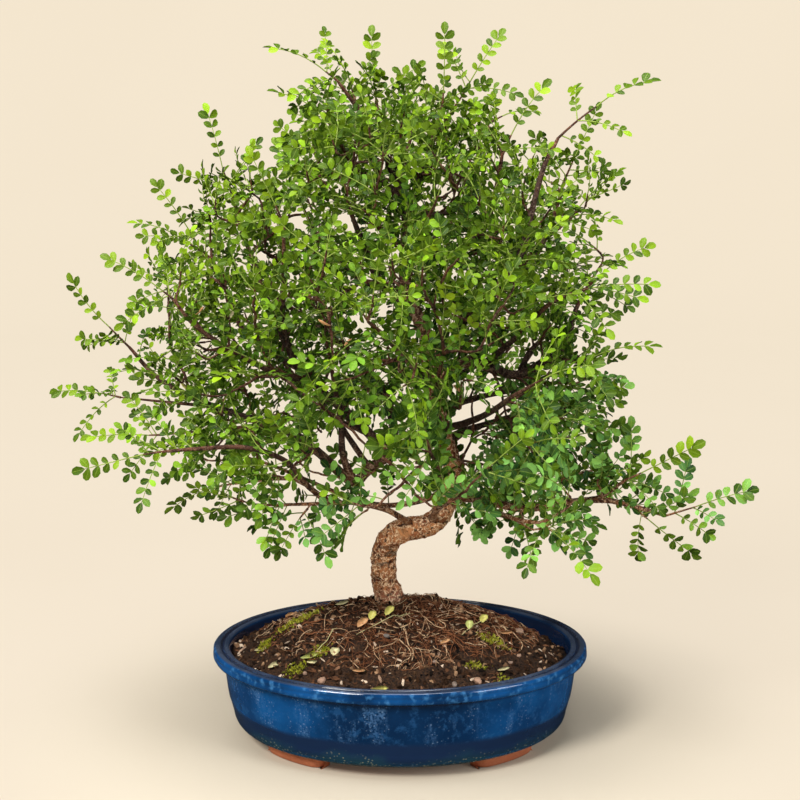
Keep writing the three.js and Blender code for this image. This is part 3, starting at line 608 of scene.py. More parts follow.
# The stones. A few angular bits of pale pink and grey grit lie on the soil where the photograph has them.
# Each is a broken pebble, pressed a little way in.
STONES = [
    # x, y, width in millimetres, and how pink it is
    (79.6, -1.5, 6.5, 0.8), (-48.8, -71.3, 6.5, 0.9), (48.8, -71.3, 7, 1.0), (-9, -41.3, 5, 0.0),
    (77, -36.5, 4, 0.9), (90, -44, 4.5, 0.7), (-80.9, 25.7, 5, 0.6), (-83, 12, 4, 0.8), (34, -76, 5, 0.2),
    (71, -48, 4, 0.5), (22, -62, 3.5, 0.3), (-60, -64, 4, 0.7), (10, 62, 5, 0.5), (-44, 52, 6, 0.2),
    (58, 44, 5, 0.8),
]


def stones_mesh():
    shape = bmesh.new()
    pinkness = []
    for index, (x, y, width, pink) in enumerate(STONES):
        before = len(shape.verts)
        bmesh.ops.create_icosphere(shape, subdivisions=3, radius=0.5)
        shape.verts.ensure_lookup_table()
        for vertex in shape.verts[before:]:
            facet = Vector(round(value * 2.4) / 2.4 for value in vertex.co * 2) / 2
            uneven = 1 + 0.25 * noise.noise(vertex.co * 2 + Vector((index, 0, 0)))
            rough = vertex.co.lerp(facet, 0.45) * uneven
            turned = Vector((rough.x * math.cos(index) - rough.y * math.sin(index) * 0.7,
                             rough.x * math.sin(index) + rough.y * math.cos(index) * 0.7, rough.z * 0.6))
            vertex.co = (turned * width + Vector((x, y, soil_height(x, y) + width * 0.12))) * MM
        pinkness += [pink] * (len(shape.verts) - before)
    mesh = bpy.data.meshes.new("pale_stones")
    shape.to_mesh(mesh)
    shape.free()
    mesh.shade_smooth()
    mark(mesh, pink=pinkness)
    return mesh


def stone_material():
    material, place, patches, grain = new_material("pale_grit", 420.0, 1500.0, Roughness=0.7)
    pink = mark_at("pink")
    colour = blend(pink, (0.16, 0.15, 0.14), (0.46, 0.27, 0.18))
    colour = blend(times(patches, 0.5), colour, (0.20, 0.12, 0.08))
    return coated(material, colour, relief=(grain, 0.4, 0.0005))


stones = new_object("pale_stones", stones_mesh())
stones.data.materials.append(stone_material())
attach(stones, "root")


# The moss. Small cushions of short, soft, yellow-green shoots grow on the damp soil to the left of the
# trunk and near the right-hand edge.
MOSS = [
    # x, y in millimetres, the patch's half length and half width, and the way it lies in degrees
    (-67, -4, 19, 4.6, 26), (-65, -58, 8, 4, 10), (49, -59, 6, 3, 20), (60, -33, 10, 5, -20),
    (-52, -48, 10, 5, 30), (68, -64, 7, 3, 25), (-20, 60, 12, 6, 0), (44, 50, 10, 6, 30),
    (-88, -22, 7, 4, 60),
]


def moss_cover(x, y, _share):
    most = 0.0
    for patch_x, patch_y, length, width, way in MOSS:
        turn = math.radians(way)
        along = (x - patch_x) * math.cos(turn) + (y - patch_y) * math.sin(turn)
        across = (y - patch_y) * math.cos(turn) - (x - patch_x) * math.sin(turn)
        inside = 1 - math.hypot(along / length, across / width)
        most = max(most, min(1, inside * 2.5 + 0.6 * noise.noise(Vector((x / 3, y / 3, 0)))))
    return max(0.0, most)


def moss_shoot():
    """A short leafy shoot: five pointed blades around one foot, one unit high."""
    points, faces = [], []
    for i in range(5):
        turn = math.tau * i / 5
        out = Vector((math.cos(turn), math.sin(turn), 0))
        side = Vector((-out.y, out.x, 0)) * 0.11
        start = len(points)
        lean = 0.16 + 0.34 * (i % 2)
        middle = out * lean * 0.5 + Vector((0, 0, 0.5)) + out * 0.08
        points += [-side, side, middle, out * lean + Vector((0, 0, 1))]
        faces += [(start, start + 1, start + 3), (start + 1, start + 2, start + 3),
                  (start + 2, start, start + 3), (start, start + 2, start + 1)]
    return new_object("moss_shoot", mesh_of("moss_shoot", points, faces))


moss = soil_top("moss", moss_cover)
shoot_pattern = moss_shoot()
grown(moss, STREWING, Chip=shoot_pattern, Count=1.3e6, Smallest=0.0013, Largest=0.0030, Lean=0.6,
      Roughness=0.0, Seed=31.0,
      Finish=litter_material("moss", (0.20, 0.22, 0.012), (0.56, 0.57, 0.035), (0.78, 0.76, 0.12)))
bpy.data.objects.remove(shoot_pattern)
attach(moss, "root")


# The surface roots. A tangle of fine reddish-brown roots lies over the mound, thickest to the right of the
# trunk, with a few longer tan ones. They grow out of the soil and run back into it.
def routes_object(name, routes, **attributes):
    """Open routes as edges of one mesh, with a number or a vector at every point for each attribute."""
    points, edges = [], []
    for route in routes:
        start = len(points)
        points += [tuple(point) for point in route]
        edges += [(i, i + 1) for i in range(start, start + len(route) - 1)]
    mesh = bpy.data.meshes.new(name)
    mesh.from_pydata(points, edges, [])
    for label, values in attributes.items():
        mark(mesh, **{label: [value for route in values for value in route]})
    return new_object(name, mesh)


def stem_tree():
    """Round stems along routes: relief on the bark is noise, pushed out along the surface."""
    tree, ins, outs = new_tree("stems along routes", {
        "Sides": ("Int", 6), "Ring Spacing": ("Float", 0.003), "Knob Size": ("Float", 0.01),
        "Knob Height": ("Float", 0.0), "Scale Height": ("Float", 0.0), "Finish": ("Material", None)})
    line = put("GeometryNodeMeshToCurve", {0: ins["Geometry"]}).outputs[0]
    line = put("GeometryNodeResampleCurve", {"Curve": line, "Length": ins["Ring Spacing"]},
               mode="LENGTH").outputs[0]
    ring = put("GeometryNodeCurvePrimitiveCircle", {"Resolution": ins["Sides"], "Radius": 1.0}).outputs[0]
    skin = put("GeometryNodeCurveToMesh", {
        "Curve": line, "Profile Curve": ring, "Scale": read("girth"), "Fill Caps": True}).outputs[0]
    place = put("GeometryNodeInputPosition").outputs[0]
    knobs = clouds(place, math_of("DIVIDE", 1.0, ins["Knob Size"]), 1.0)
    scales = clouds(place, math_of("DIVIDE", 4.2, ins["Knob Size"]), 3.0)
    rise = times(math_of("SUBTRACT", knobs, 0.5), ins["Knob Height"])
    rise = times_plus(math_of("SUBTRACT", scales, 0.5), ins["Scale Height"], rise)
    rise = times(rise, read("girth"))
    normal = put("GeometryNodeInputNormal").outputs[0]
    skin = put("GeometryNodeSetPosition", {
        "Geometry": skin, "Offset": vector_of("SCALE", normal, scale=rise)}).outputs[0]
    skin = put("GeometryNodeRealizeInstances", {"Geometry": skin}).outputs[0]
    return ended(tree, put("GeometryNodeSetShadeSmooth", {"Geometry": skin}).outputs[0], ins, outs)


STEMS = stem_tree()
chance = np.random.default_rng(5)


def root_route(x, y, way, length, lift, curl):
    """A root that wanders over the soil, curling steadily, and dips into it at both ends."""
    step = 1.7 if curl else 2.6
    count = max(5, int(length / step))
    bend, route = 0.0, []
    for i in range(count + 1):
        share = math.hypot(x - SOIL_PEAK[0], (y - SOIL_PEAK[1]) / OVAL) / 104
        if share > 0.98:
            break
        rise = lift * math.sin(math.pi * i / count) - 0.8 * (i in (0, count))
        route.append(Vector((x, y, soil_height(x, y) + rise + chance.normal(0, 0.25))) * MM)
        bend = 0.7 * bend + chance.normal(0, 0.34)
        way += bend * 0.6 + curl
        x += step * math.cos(way)
        y += step * math.sin(way)
    return route


def scatter_roots():
    """Long roots, the tangle around the trunk's foot, and short curled fibres everywhere."""
    routes, girths, tints = [], [], []
    for index in range(1500):
        long, fibre = index % 27 == 0, index % 5 < 3
        right = not fibre and index % 4 != 0
        out = chance.uniform(0, 1) ** (0.55 if fibre else 0.7)
        turn = chance.uniform(-math.pi * 0.62, math.pi * 0.42) if right else chance.uniform(0, math.tau)
        x = SOIL_PEAK[0] + 6 + 94 * out * math.cos(turn)
        y = SOIL_PEAK[1] + 78 * out * math.sin(turn)
        length = chance.uniform(*((50, 95) if long else (7, 18) if fibre else (12, 38)))
        way = turn + chance.normal(0, 0.9)
        curl = chance.choice((-1, 1)) * chance.uniform(0.12, 0.45) if fibre and not long else 0
        route = root_route(x, y, way, length, chance.uniform(0.5, 3.0 if right or fibre else 1.2), curl)
        if len(route) < 4:
            continue
        thick = chance.uniform(0.38, 0.6) if long else chance.uniform(0.17, 0.33)
        routes.append(route)
        girths.append([thick * MM * (1 - 0.6 * i / len(route)) for i in range(len(route))])
        tints.append([chance.uniform(0.55, 1) if long or fibre else chance.uniform(0, 0.9)] * len(route))
    return routes, girths, tints


routes, girths, tints = scatter_roots()
roots = routes_object("surface_roots", routes, girth=girths, tint=tints)
grown(roots, STEMS, Sides=3, Ring_Spacing=0.0027,
      Finish=litter_material("root_fibre", (0.080, 0.022, 0.009), (0.40, 0.155, 0.066),
                             (0.86, 0.60, 0.36), 0.6))
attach(roots, "root")


# The wood. The trunk leaves the soil upright, bends hard to the right, then climbs again, and 41 limbs grow
# from it and from each other. Its bark is tan and knobbly on the trunk and dark on the thinner limbs, where
# the near-black brown is partly their own bark and partly painted shade from inside the crown.
LIMBS = {
    # name: thickness at the root and the end, the route, and where its last leaf ends, in millimetres
    "trunk": (9.4, 1, [
        (-4, 10, 42), (-5, 10, 64), (-6, 10, 85), (-10, 9, 100), (-11, 7, 115), (-9, 4, 128),
        (-3, 1, 137), (6, -2, 141), (16, -3, 143), (25, -1, 148), (31, 3, 156), (35, 8, 166),
        (35, 13, 178), (32, 15, 190), (28, 14, 205), (24, 11, 222), (22, 6, 242), (18, 2, 264),
        (10, 0, 285), (4, 0, 303), (3, 3, 322), (4, 5, 340), (2, 4, 356), (-6, -2, 378),
        (-13, -7, 392), (-14, 0, 405), (-15, 6, 418)], (-19, 10, 472)),
    "low_left": (2.3, 0.9, [
        (10, -2, 143), (0, -14, 152), (-10, -24, 160), (-30, -35, 167), (-52, -41, 168), (-68, -47, 169)],
        (-117, -54, 160)),
    "low_left_back": (2.4, 0.9, [
        (34, 8, 166), (20, 6, 160), (4, 9, 155), (-14, 18, 152), (-36, 36, 153), (-85, 74, 164),
        (-105, 86, 168)], (-158, 98, 174)),
    "left_limb": (4.3, 1, [
        (27, 13, 213), (16, 12, 202), (-2, 9, 192), (-20, 0, 181), (-31, -6, 174), (-45, -14, 188),
        (-62, -18, 204), (-82, -18, 214), (-110, -15, 222), (-135, -10, 231), (-158, -5, 244),
        (-175, -1, 262)], (-216, 2, 311)),
    "left_stem": (2.6, 0.9, [
        (-31, -6, 175), (-37, -12, 193), (-38, -16, 214), (-42, -24, 244), (-46, -33, 270)], (-58, -66, 318)),
    "left_stem_back": (2.2, 0.9, [
        (-20, 0, 181), (-30, 10, 194), (-44, 28, 210), (-64, 52, 226), (-80, 72, 238)], (-118, 104, 262)),
    "left_riser": (3.6, 1, [
        (-9, 6, 189), (-21, 3, 205), (-34, -4, 219), (-52, -18, 238), (-66, -31, 257), (-72, -42, 282),
        (-71, -50, 312), (-70, -54, 345)], (-95, -60, 398)),
    "left_riser_inner": (2, 0.9, [
        (-70, -38, 268), (-80, -33, 290), (-92, -24, 320), (-101, -18, 346), (-106, -14, 364)],
        (-124, -12, 420)),
    "left_riser_middle": (2, 0.9, [
        (-64, -29, 253), (-84, -20, 263), (-101, -9, 275), (-112, 3, 298), (-121, 8, 318)], (-180, 14, 345)),
    "left_riser_outer": (2, 0.9, [
        (-57, -22, 243), (-78, -37, 251), (-102, -52, 267), (-124, -60, 284), (-137, -63, 301)],
        (-181, -66, 331)),
    "low_left_fan": (2.1, 0.9, [
        (-45, -39, 168), (-58, -56, 184), (-70, -72, 203), (-92, -85, 214), (-118, -92, 215),
        (-138, -95, 214)], (-196, -98, 200)),
    "low_left_tip": (1.8, 0.9, [(-70, 62, 160), (-92, 71, 157), (-117, 78, 152)], (-170, 84, 128)),
    "mid_left": (3, 1, [
        (-3, 9, 192), (-5, 20, 208), (-12, 34, 228), (-27, 46, 245), (-50, 56, 263), (-85, 62, 286),
        (-108, 62, 296)], (-160, 64, 314)),
    "up_left": (3.2, 1, [
        (4, 0, 298), (-7, -8, 301), (-17, -20, 314), (-26, -36, 340), (-31, -44, 354)], (-52, -66, 402)),
    "up_left_back": (2.2, 0.9, [
        (-8, -8, 301), (-22, 4, 303), (-42, 24, 318), (-56, 36, 333), (-64, 43, 348)], (-88, 56, 396)),
    "top_left": (1.7, 0.9, [(-13, -7, 392), (-20, -15, 405), (-30, -21, 419), (-38, -24, 430)],
                 (-88, -24, 453)),
    "top_far_left": (2.4, 0.9, [
        (3, 4, 354), (-10, 0, 367), (-24, -6, 374), (-34, -13, 386), (-40, -19, 400)], (-84, -28, 430)),
    "top_right": (2.5, 0.9, [
        (4, 5, 343), (9, -5, 362), (16, -14, 380), (22, -21, 400), (26, -24, 415)], (29, -26, 469)),
    "up_right": (3, 1, [
        (4, 2, 316), (16, -5, 320), (36, -15, 327), (52, -27, 340), (58, -36, 362), (62, -40, 385)],
        (90, -38, 438)),
    "up_right_back": (2.4, 0.9, [
        (4, 5, 335), (15, 12, 344), (36, 20, 349), (47, 28, 360), (50, 32, 375)], (63, 26, 431)),
    "right_riser": (3.9, 1, [
        (20, 4, 256), (32, -4, 261), (39, -17, 280), (48, -29, 295), (64, -40, 309), (75, -45, 330),
        (80, -46, 352), (87, -43, 378), (96, -38, 396)], (160, -36, 435)),
    "right_riser_inner": (2.2, 0.9, [
        (53, -33, 298), (70, -17, 304), (86, 0, 319), (98, 12, 342), (106, 17, 368)], (128, 12, 424)),
    "right_limb": (4.4, 1, [
        (22, 7, 240), (34, 2, 249), (48, -4, 253), (62, -8, 248), (76, -13, 246), (92, -17, 255),
        (106, -18, 266), (110, -15, 284), (118, -9, 300)], (162, 0, 338)),
    "right_limb_back": (2.4, 0.9, [(77, -13, 246), (84, 2, 258), (99, 18, 270)], (151, 36, 284)),
    "right_limb_front": (2.4, 0.9, [
        (54, -5, 251), (64, -22, 263), (78, -40, 280), (90, -54, 296), (104, -60, 304)], (160, -62, 311)),
    "right_limb_low": (2.2, 0.9, [(89, -16, 254), (100, -28, 258), (110, -38, 258)], (164, -52, 270)),
    "low_right_back": (2.8, 0.9, [
        (24, 12, 218), (40, 32, 219), (62, 52, 221), (84, 66, 222), (102, 76, 221)], (154, 92, 208)),
    "low_right_middle": (3, 0.9, [
        (30, 14, 196), (40, 25, 200), (58, 34, 204), (84, 41, 210), (108, 44, 212)], (161, 56, 232)),
    "low_right": (3.6, 1, [
        (34, 7, 161), (48, -2, 162), (64, -10, 160), (82, -15, 158), (108, -18, 163), (132, -20, 165),
        (154, -20, 160), (172, -18, 154)], (235, -18, 174)),
    "low_right_riser": (2, 0.9, [(121, -20, 164), (130, -31, 171), (142, -40, 183)], (192, -46, 211)),
    "low_right_front": (2.2, 0.9, [(47, -2, 162), (60, -28, 160), (74, -54, 161), (86, -76, 165)],
                        (118, -114, 138)),
    "front_shoot": (2.2, 0.9, [
        (28, 14, 204), (23, -20, 222), (22, -48, 237), (23, -62, 251), (26, -71, 268)], (24, -86, 326)),
    "front_low": (2.6, 0.9, [
        (20, -2, 145), (24, -26, 162), (25, -52, 180), (23, -78, 199), (18, -98, 214)], (-22, -134, 228)),
    "front_middle": (2.8, 0.9, [
        (22, 8, 236), (15, -26, 247), (4, -60, 263), (-8, -96, 282), (-18, -127, 296)], (-48, -163, 324)),
    "front_right": (2.8, 0.9, [
        (28, 14, 205), (40, -24, 216), (54, -60, 230), (66, -92, 246), (76, -118, 258)], (116, -152, 278)),
    "front_top": (2.4, 0.9, [(4, 2, 306), (7, -32, 323), (13, -62, 341), (20, -84, 358)], (46, -112, 396)),
    "back_low": (3.2, 0.9, [(33, 14, 182), (28, 50, 185), (16, 86, 190), (4, 124, 196)], (-32, 163, 210)),
    "back_right": (3, 0.9, [(22, 8, 236), (36, 46, 234), (54, 82, 236), (76, 112, 240)], (118, 146, 256)),
    "back_middle": (3, 0.9, [(16, 2, 270), (10, 42, 275), (-2, 78, 283), (-12, 106, 291)], (-52, 138, 314)),
    "back_up": (2.6, 0.9, [(4, 2, 312), (13, 36, 319), (25, 66, 328), (38, 86, 338)], (74, 112, 372)),
    "back_top": (2, 0.9, [(2, 4, 357), (0, 28, 371), (4, 50, 384), (8, 62, 396)], (16, 86, 446)),
    "back_left": (2.8, 0.9, [(-2, 9, 192), (-15, 46, 191), (-32, 80, 192), (-52, 108, 196)],
                  (-98, 138, 208)),
}
TAPER = 0.8
COLLAR_SWELL = 0.3
# Burrs on the trunk: the place, how wide and how high, in millimetres.
BURRS = [
    ((17, -12, 148), 6, 2.6), ((-1, -8, 132), 5, 1.4), ((8, -9, 137), 4, 1.2), ((-19, 4, 117), 3, 1.3),
    ((-2, 2, 112), 3.5, 1.2), ((-14, -1, 122), 4, 1.1), ((-11, -1, 104), 3, 1.0), ((1, 6, 98), 3, 1.0),
    ((-14, 6, 90), 4, 1.3), ((3, 8, 90), 4, 1.6), ((26, -9, 144), 4, 1.6), ((36, 2, 170), 4, 1.4),
    ((27, 5, 186), 4, 1.4), ((22, -3, 136), 5, 1.2), ((-9, 17, 108), 4, 1.6), ((18, 6, 134), 4, 1.4),
]


def route_point(route, share):
    """A point on the smooth curve through a route, the way the frame's limbs run."""
    reach = (len(route) - 1) * share
    i = min(int(reach), len(route) - 2)
    t = reach - i
    p1, p2 = route[i], route[i + 1]
    p0 = route[i - 1] if i > 0 else p1 * 2 - p2
    p3 = route[i + 2] if i + 2 < len(route) else p2 * 2 - p1
    m1, m2 = (p2 - p0) / 2, (p3 - p1) / 2
    return (p1 * (2 * t ** 3 - 3 * t ** 2 + 1) + m1 * (t ** 3 - 2 * t ** 2 + t)
            + p2 * (3 * t ** 2 - 2 * t ** 3) + m2 * (t ** 3 - t ** 2))


def limb_radius(root, end, share):
    return end + (root - end) * (1 - share) ** TAPER


ROUTES = {name: [Vector(point) for point in limb[2]] for name, limb in LIMBS.items()}


def limb_line(name):
    """Points along a limb, and its radius at each."""
    root, end, _, _ = LIMBS[name]
    route = ROUTES[name]
    length = sum((b - a).length for a, b in zip(route, route[1:]))
    steps = max(8, int(length / 1.6))
    points, radii = [], []
    for i in range(steps + 1):
        share = i / steps
        from_collar = (share * length - root * 2.2) / (root * 1.8)
        collar = 0 if name == "trunk" else COLLAR_SWELL * math.exp(-from_collar ** 2)
        points.append(route_point(route, share) * MM)
        radii.append(limb_radius(root, end, share) * (1 + collar) * MM)
    foot = [1 + 0.12 * math.exp(-max(0, point.z - 0.084) / 0.005) for point in points]
    if name == "trunk":
        radii = [radius * flare for radius, flare in zip(radii, foot)]
    return points, radii


def bark_material():
    material, place, patches, grain = new_material("rough_bark", 130.0, 560.0, Specular_IOR_Level=0.3)
    girth = mark_at("girth")
    height = height_at(place)
    low = times(fade(height, 0.205, 0.16), 0.35)
    old = math_of("MAXIMUM", fade(girth, 0.0032, 0.0066), low)
    tan = blend(patches, (0.20, 0.052, 0.019), (0.66, 0.280, 0.110))
    pink = times(fade(height, 0.104, 0.09), 0.6)
    tan = blend(pink, tan, (0.50, 0.215, 0.140))
    # The thinner limbs get a near-black brown: partly their own darker bark, partly painted shade for the
    # crown's inside.
    dark = blend(patches, (0.014, 0.007, 0.005), (0.060, 0.028, 0.020))
    young = fade(girth, 0.0019, 0.0011)
    dark = blend(young, dark, blend(patches, (0.045, 0.014, 0.008), (0.14, 0.052, 0.025)))
    colour = blend(old, dark, tan)

    # Cream ridges and flakes of old bark, dark cracks and pits between them, and rings around old scars.
    pits = clouds(place, 330.0, 4.0)
    warp = put("ShaderNodeTexNoise", {"Vector": place, "Scale": 260.0, "Detail": 2.0}).outputs["Color"]
    bent = put("ShaderNodeVectorMath", {0: warp, 1: (0.009, 0.009, 0.009), 2: place},
               operation="MULTIPLY_ADD").outputs[0]
    net = put("ShaderNodeTexVoronoi", {"Vector": bent, "Scale": 240.0},
              feature="DISTANCE_TO_EDGE").outputs["Distance"]
    ridge = fade(net, 0.13, 0.04)
    fleck = times(ridge, times_plus(old, 0.9, 0.08))
    fleck = times(fleck, fade(grain, 0.1, 0.5))
    hollow = times(fade(net, 0.14, 0.36), fade(pits, 0.56, 0.42))
    colour = blend(times(hollow, 0.85), colour, (0.070, 0.017, 0.006))
    colour = blend(fleck, colour, (1.0, 0.70, 0.45))
    flat = put("ShaderNodeMapping", {"Vector": place, "Scale": (0.35, 0.35, 1.5)}).outputs[0]
    rings = clouds(flat, 300.0, 2.0)
    ringed = times(fade(height, 0.11, 0.118), fade(height, 0.138, 0.13))
    ringed = times(ringed, fade(rings, 0.47, 0.4))
    pit = math_of("MAXIMUM", fade(pits, 0.43, 0.35), times(ringed, 0.8))
    colour = blend(times(pit, 0.85), colour, (0.045, 0.017, 0.010))
    wound = put("ShaderNodeVectorMath", {0: place, 1: (0.002, -0.012, 0.139)}, operation="DISTANCE")
    colour = blend(fade(wound.outputs["Value"], 0.007, 0.003), colour, (0.60, 0.27, 0.11))
    relief = math_of("SUBTRACT", times_plus(ridge, 0.8, pits), pit)
    return coated(material, colour, times_plus(grain, 0.25, 0.62), (relief, 0.9, 0.0011))


def swell_burrs(mesh):
    """Pushes the burrs and old pruning scars out of the trunk."""
    count = len(mesh.vertices)
    places, ways = np.empty(count * 3), np.empty(count * 3)
    mesh.vertices.foreach_get("co", places)
    mesh.vertex_normals.foreach_get("vector", ways)
    places, ways = places.reshape(-1, 3), ways.reshape(-1, 3)
    rise = np.zeros(count)
    for centre, width, height in BURRS:
        away = np.linalg.norm(places - np.array(centre) * MM, axis=1) / (width * MM)
        rise += height * MM * np.exp(-away ** 2) * (1 - 0.5 * np.exp(-(away * 2.6) ** 2))
    mesh.vertices.foreach_set("co", (places + ways * rise[:, None]).ravel())
    mesh.update()


BARK = bark_material()
WOOD = [
    # limbs at least this thick, sides, ring spacing, knob size and height, height of the scales
    (9, 44, 0.0011, 0.0085, 0.42, 0.34), (3.8, 18, 0.0016, 0.008, 0.35, 0.3),
    (0, 8, 0.0028, 0.006, 0.25, 0.2),
]
wood_parts = []
thicker_than = math.inf
for thick, sides, spacing, knob, height, scales in WOOD:
    names = [name for name, limb in LIMBS.items() if thick <= limb[0] < thicker_than]
    thicker_than = thick
    lines = [limb_line(name) for name in names]
    part = routes_object("wood", [line[0] for line in lines], girth=[line[1] for line in lines])
    wood_parts.append(grown(part, STEMS, Sides=sides, Ring_Spacing=spacing, Knob_Size=knob,
                            Knob_Height=height, Scale_Height=scales, Finish=BARK))
swell_burrs(wood_parts[0].data)


def joined(name, parts):
    """Several objects' meshes as one piece, with their attributes."""
    with bpy.context.temp_override(active_object=parts[0], selected_editable_objects=parts,
                                   selected_objects=parts, object=parts[0]):
        bpy.ops.object.join()
    parts[0].name = parts[0].data.name = name
    return parts[0]


wood = joined("tree_bark", wood_parts)
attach(wood, "root")
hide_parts("tree_wood")


# The twigs. Thin red-brown side twigs carry the rest of the foliage. Each grows from the nearest limb that
# runs its way, bends outward, and ends where a leafy shoot starts.
SIDE_SHOOTS = [
    # the limb, how far along it, and where the last leaf ends
    ("top_left", 0.2, (-52, 26, 460)), ("top_right", 0.7, (70, -10, 467)),
    ("left_riser_middle", 0.75, (-158, -2, 376)), ("left_limb", 0.76, (-235, 20, 230)),
    ("left_limb", 0.64, (-206, -26, 204)), ("low_left", 0.85, (-78, -60, 138)),
    ("low_left", 0.5, (-34, -88, 152)), ("right_riser_inner", 0.62, (150, 20, 376)),
    ("low_right", 0.8, (200, -14, 130)), ("low_right", 0.4, (84, -66, 134)),
    ("left_riser", 0.5, (-108, -120, 262)), ("front_middle", 0.55, (-66, -130, 246)),
    ("right_riser", 0.5, (78, -112, 346)),
]
SHOOT_LENGTH = 54
TWIG_ROOT = 1.5
TWIG_TIP = 0.55
VIEWER_AWAY = 1000
VIEWER_HEIGHT = 416
TWIG_END = 0.9
CROWN_HEART = Vector((0, 20, 250))
CROWN_CENTRE = (0, 290)
# How far the crown reaches from its centre, seen from the front, every 15 degrees from the right.
CROWN_REACH = [138, 150, 150, 161, 155, 152, 170, 172, 165, 143, 166, 168,
               180, 198, 200, 178, 160, 139, 130, 158, 186, 200, 200, 148]
CROWN_DEPTH = 158
# Openings where the backdrop shows between the limbs: the centre and half sizes, seen from the front.
OPENINGS = [
    (-37, 196, 19, 14), (53, 220, 22, 13), (-82, 188, 15, 10), (40, 196, 12, 14), (84, 262, 12, 9),
    (-124, 260, 8, 8), (-91, 237, 8, 7), (-23, 275, 9, 7), (72, 250, 12, 8), (-54, 178, 9, 7),
    (28, 364, 9, 11), (78, 397, 9, 9), (-78, 410, 10, 9), (-65, 342, 8, 8),
]
EXTRA_SHOOTS = 330
SHOOT_ROOM = 19.5


def draw(n):
    """A number from 0 to 1 that is always the same for the same n, the one that placed the frame's sprays."""
    s = math.sin(n * 12.9898 + 4.1414) * 43758.5453
    return s - math.floor(s)


def cad_shoots():
    """The frame's 55 shoots: name, base, where the last leaf ends, and for side twigs the root."""
    shoots = [dict(name=name, base=route_point(ROUTES[name], 1), aim=Vector(limb[3]), root=None)
              for name, limb in LIMBS.items()]
    for i, (name, share, aim) in enumerate(SIDE_SHOOTS):
        root, aim = route_point(ROUTES[name], share), Vector(aim)
        base = aim.lerp(root, min(SHOOT_LENGTH / (aim - root).length, 0.9))
        radius = limb_radius(*LIMBS[name][:2], share)
        shoots.append(dict(name=f"{name}_side_{i + 1}", base=base, aim=aim, root=root, radius=radius))
    return shoots


def crown_share(point):
    """How far out in the crown a point lies: 0 at the centre and 1 at its surface."""
    x, z = point.x - CROWN_CENTRE[0], point.z - CROWN_CENTRE[1]
    turn = math.atan2(z, x) % math.tau / math.radians(15)
    i = int(turn) % 24
    reach = CROWN_REACH[i] + (CROWN_REACH[(i + 1) % 24] - CROWN_REACH[i]) * (turn - int(turn))
    return math.hypot(math.hypot(x, z) / reach, point.y / CROWN_DEPTH)


def seen_at(point):
    """Where a point is seen from the front, as x and z in millimetres in the plane of the trunk."""
    sight = VIEWER_AWAY / (VIEWER_AWAY + point.y)
    return point.x * sight, point.z * sight + VIEWER_HEIGHT * (1 - sight)


def in_opening(point):
    x, z = seen_at(point)
    return any(math.hypot((x - ox) / wide, (z - oz) / high) < 1 for ox, oz, wide, high in OPENINGS)


def hides_trunk(point):
    """Whether a leaf that ends here would hang in front of the bare trunk."""
    return point.y < 30 and -45 < point.x < 45 and point.z < 178


def wood_points():
    """Points along every limb with the way it runs there, in millimetres."""
    places, ways = [], []
    for name, route in ROUTES.items():
        for i in range(len(route) * 5 + 1):
            share = i / (len(route) * 5)
            place = route_point(route, share)
            if share < 0.12 or place.z < 140:
                continue
            places.append(place)
            ways.append((place - route_point(route, max(0, share - 0.02))).normalized())
    return places, ways


def extra_shoots(shoots):
    """Seats for more shoots where the crown is still thin, each with a twig from the best placed wood."""
    pick = np.random.default_rng(18)
    places, ways = wood_points()
    seats = [(shoot["base"] + shoot["aim"]) / 2 for shoot in shoots]
    found = []
    tries = 0
    while len(found) < EXTRA_SHOOTS and tries < 40000:
        tries += 1
        tip = Vector(pick.uniform((-235, -155, 130), (235, 155, 468)))
        share = crown_share(tip)
        if not 0.42 < share < 0.97 or in_opening(tip) or hides_trunk(tip):
            continue
        out = (tip - CROWN_HEART).normalized()
        ahead = (out * 0.75 + Vector((0, 0, 0.3)) + Vector(pick.normal(0, 0.42, 3))).normalized()
        length = pick.uniform(30, 52)
        base = tip - ahead * length
        seat = (base + tip) / 2
        if in_opening(seat):
            continue
        if base.z < 150 or min((seat - other).length for other in seats) < shoot_room(base):
            continue
        gaps = np.array(base)[None] - np.array(places)
        reach = np.linalg.norm(gaps, axis=1)
        with_grain = (gaps * np.array(ways)).sum(1) / np.maximum(reach, 1e-6)
        cost = reach * (1.7 - with_grain) + 60 * (reach < 6)
        best = int(cost.argmin())
        if reach[best] > 70 or with_grain[best] < 0.2 or gaps[best].dot(ahead) < 0.1 * reach[best]:
            continue
        twig = twig_route(places[best], ways[best], base, ahead, pick)
        seats.append(seat)
        found.append(dict(name=f"extra_{len(found)}", base=base, aim=tip, twig=twig))
        for a, b in zip(twig[1:], twig[2:]):
            places.append(b)
            ways.append((b - a).normalized())
    return found


def shoot_room(base):
    """How far apart the shoots stand: closest at the top, and farthest behind and low at both sides."""
    if base.y > 40:
        return SHOOT_ROOM * (1.2 if abs(base.x) > 80 else 1.5)
    low_outside = base.z < 300 and abs(base.x) > 90
    return SHOOT_ROOM * (0.75 if base.z > 355 else 0.9 if base.z > 310 else 1.12 if low_outside else 1.05)


def twig_route(root, way, base, ahead, pick):
    """A twig that leaves its limb at a slant, and comes to the shoot's base along the shoot."""
    reach = (base - root).length
    out = (way * 0.5 + (base - root).normalized() * 0.5).normalized()
    near, far = root + out * reach * 0.4, base - ahead * reach * 0.3
    route = []
    for i in range(9):
        t = i / 8
        point = root * (1 - t) ** 3 + near * 3 * t * (1 - t) ** 2
        point = point + far * 3 * t * t * (1 - t) + base * t ** 3
        route.append(point + Vector(pick.normal(0, 0.012 * reach, 3)) * math.sin(math.pi * t))
    return route


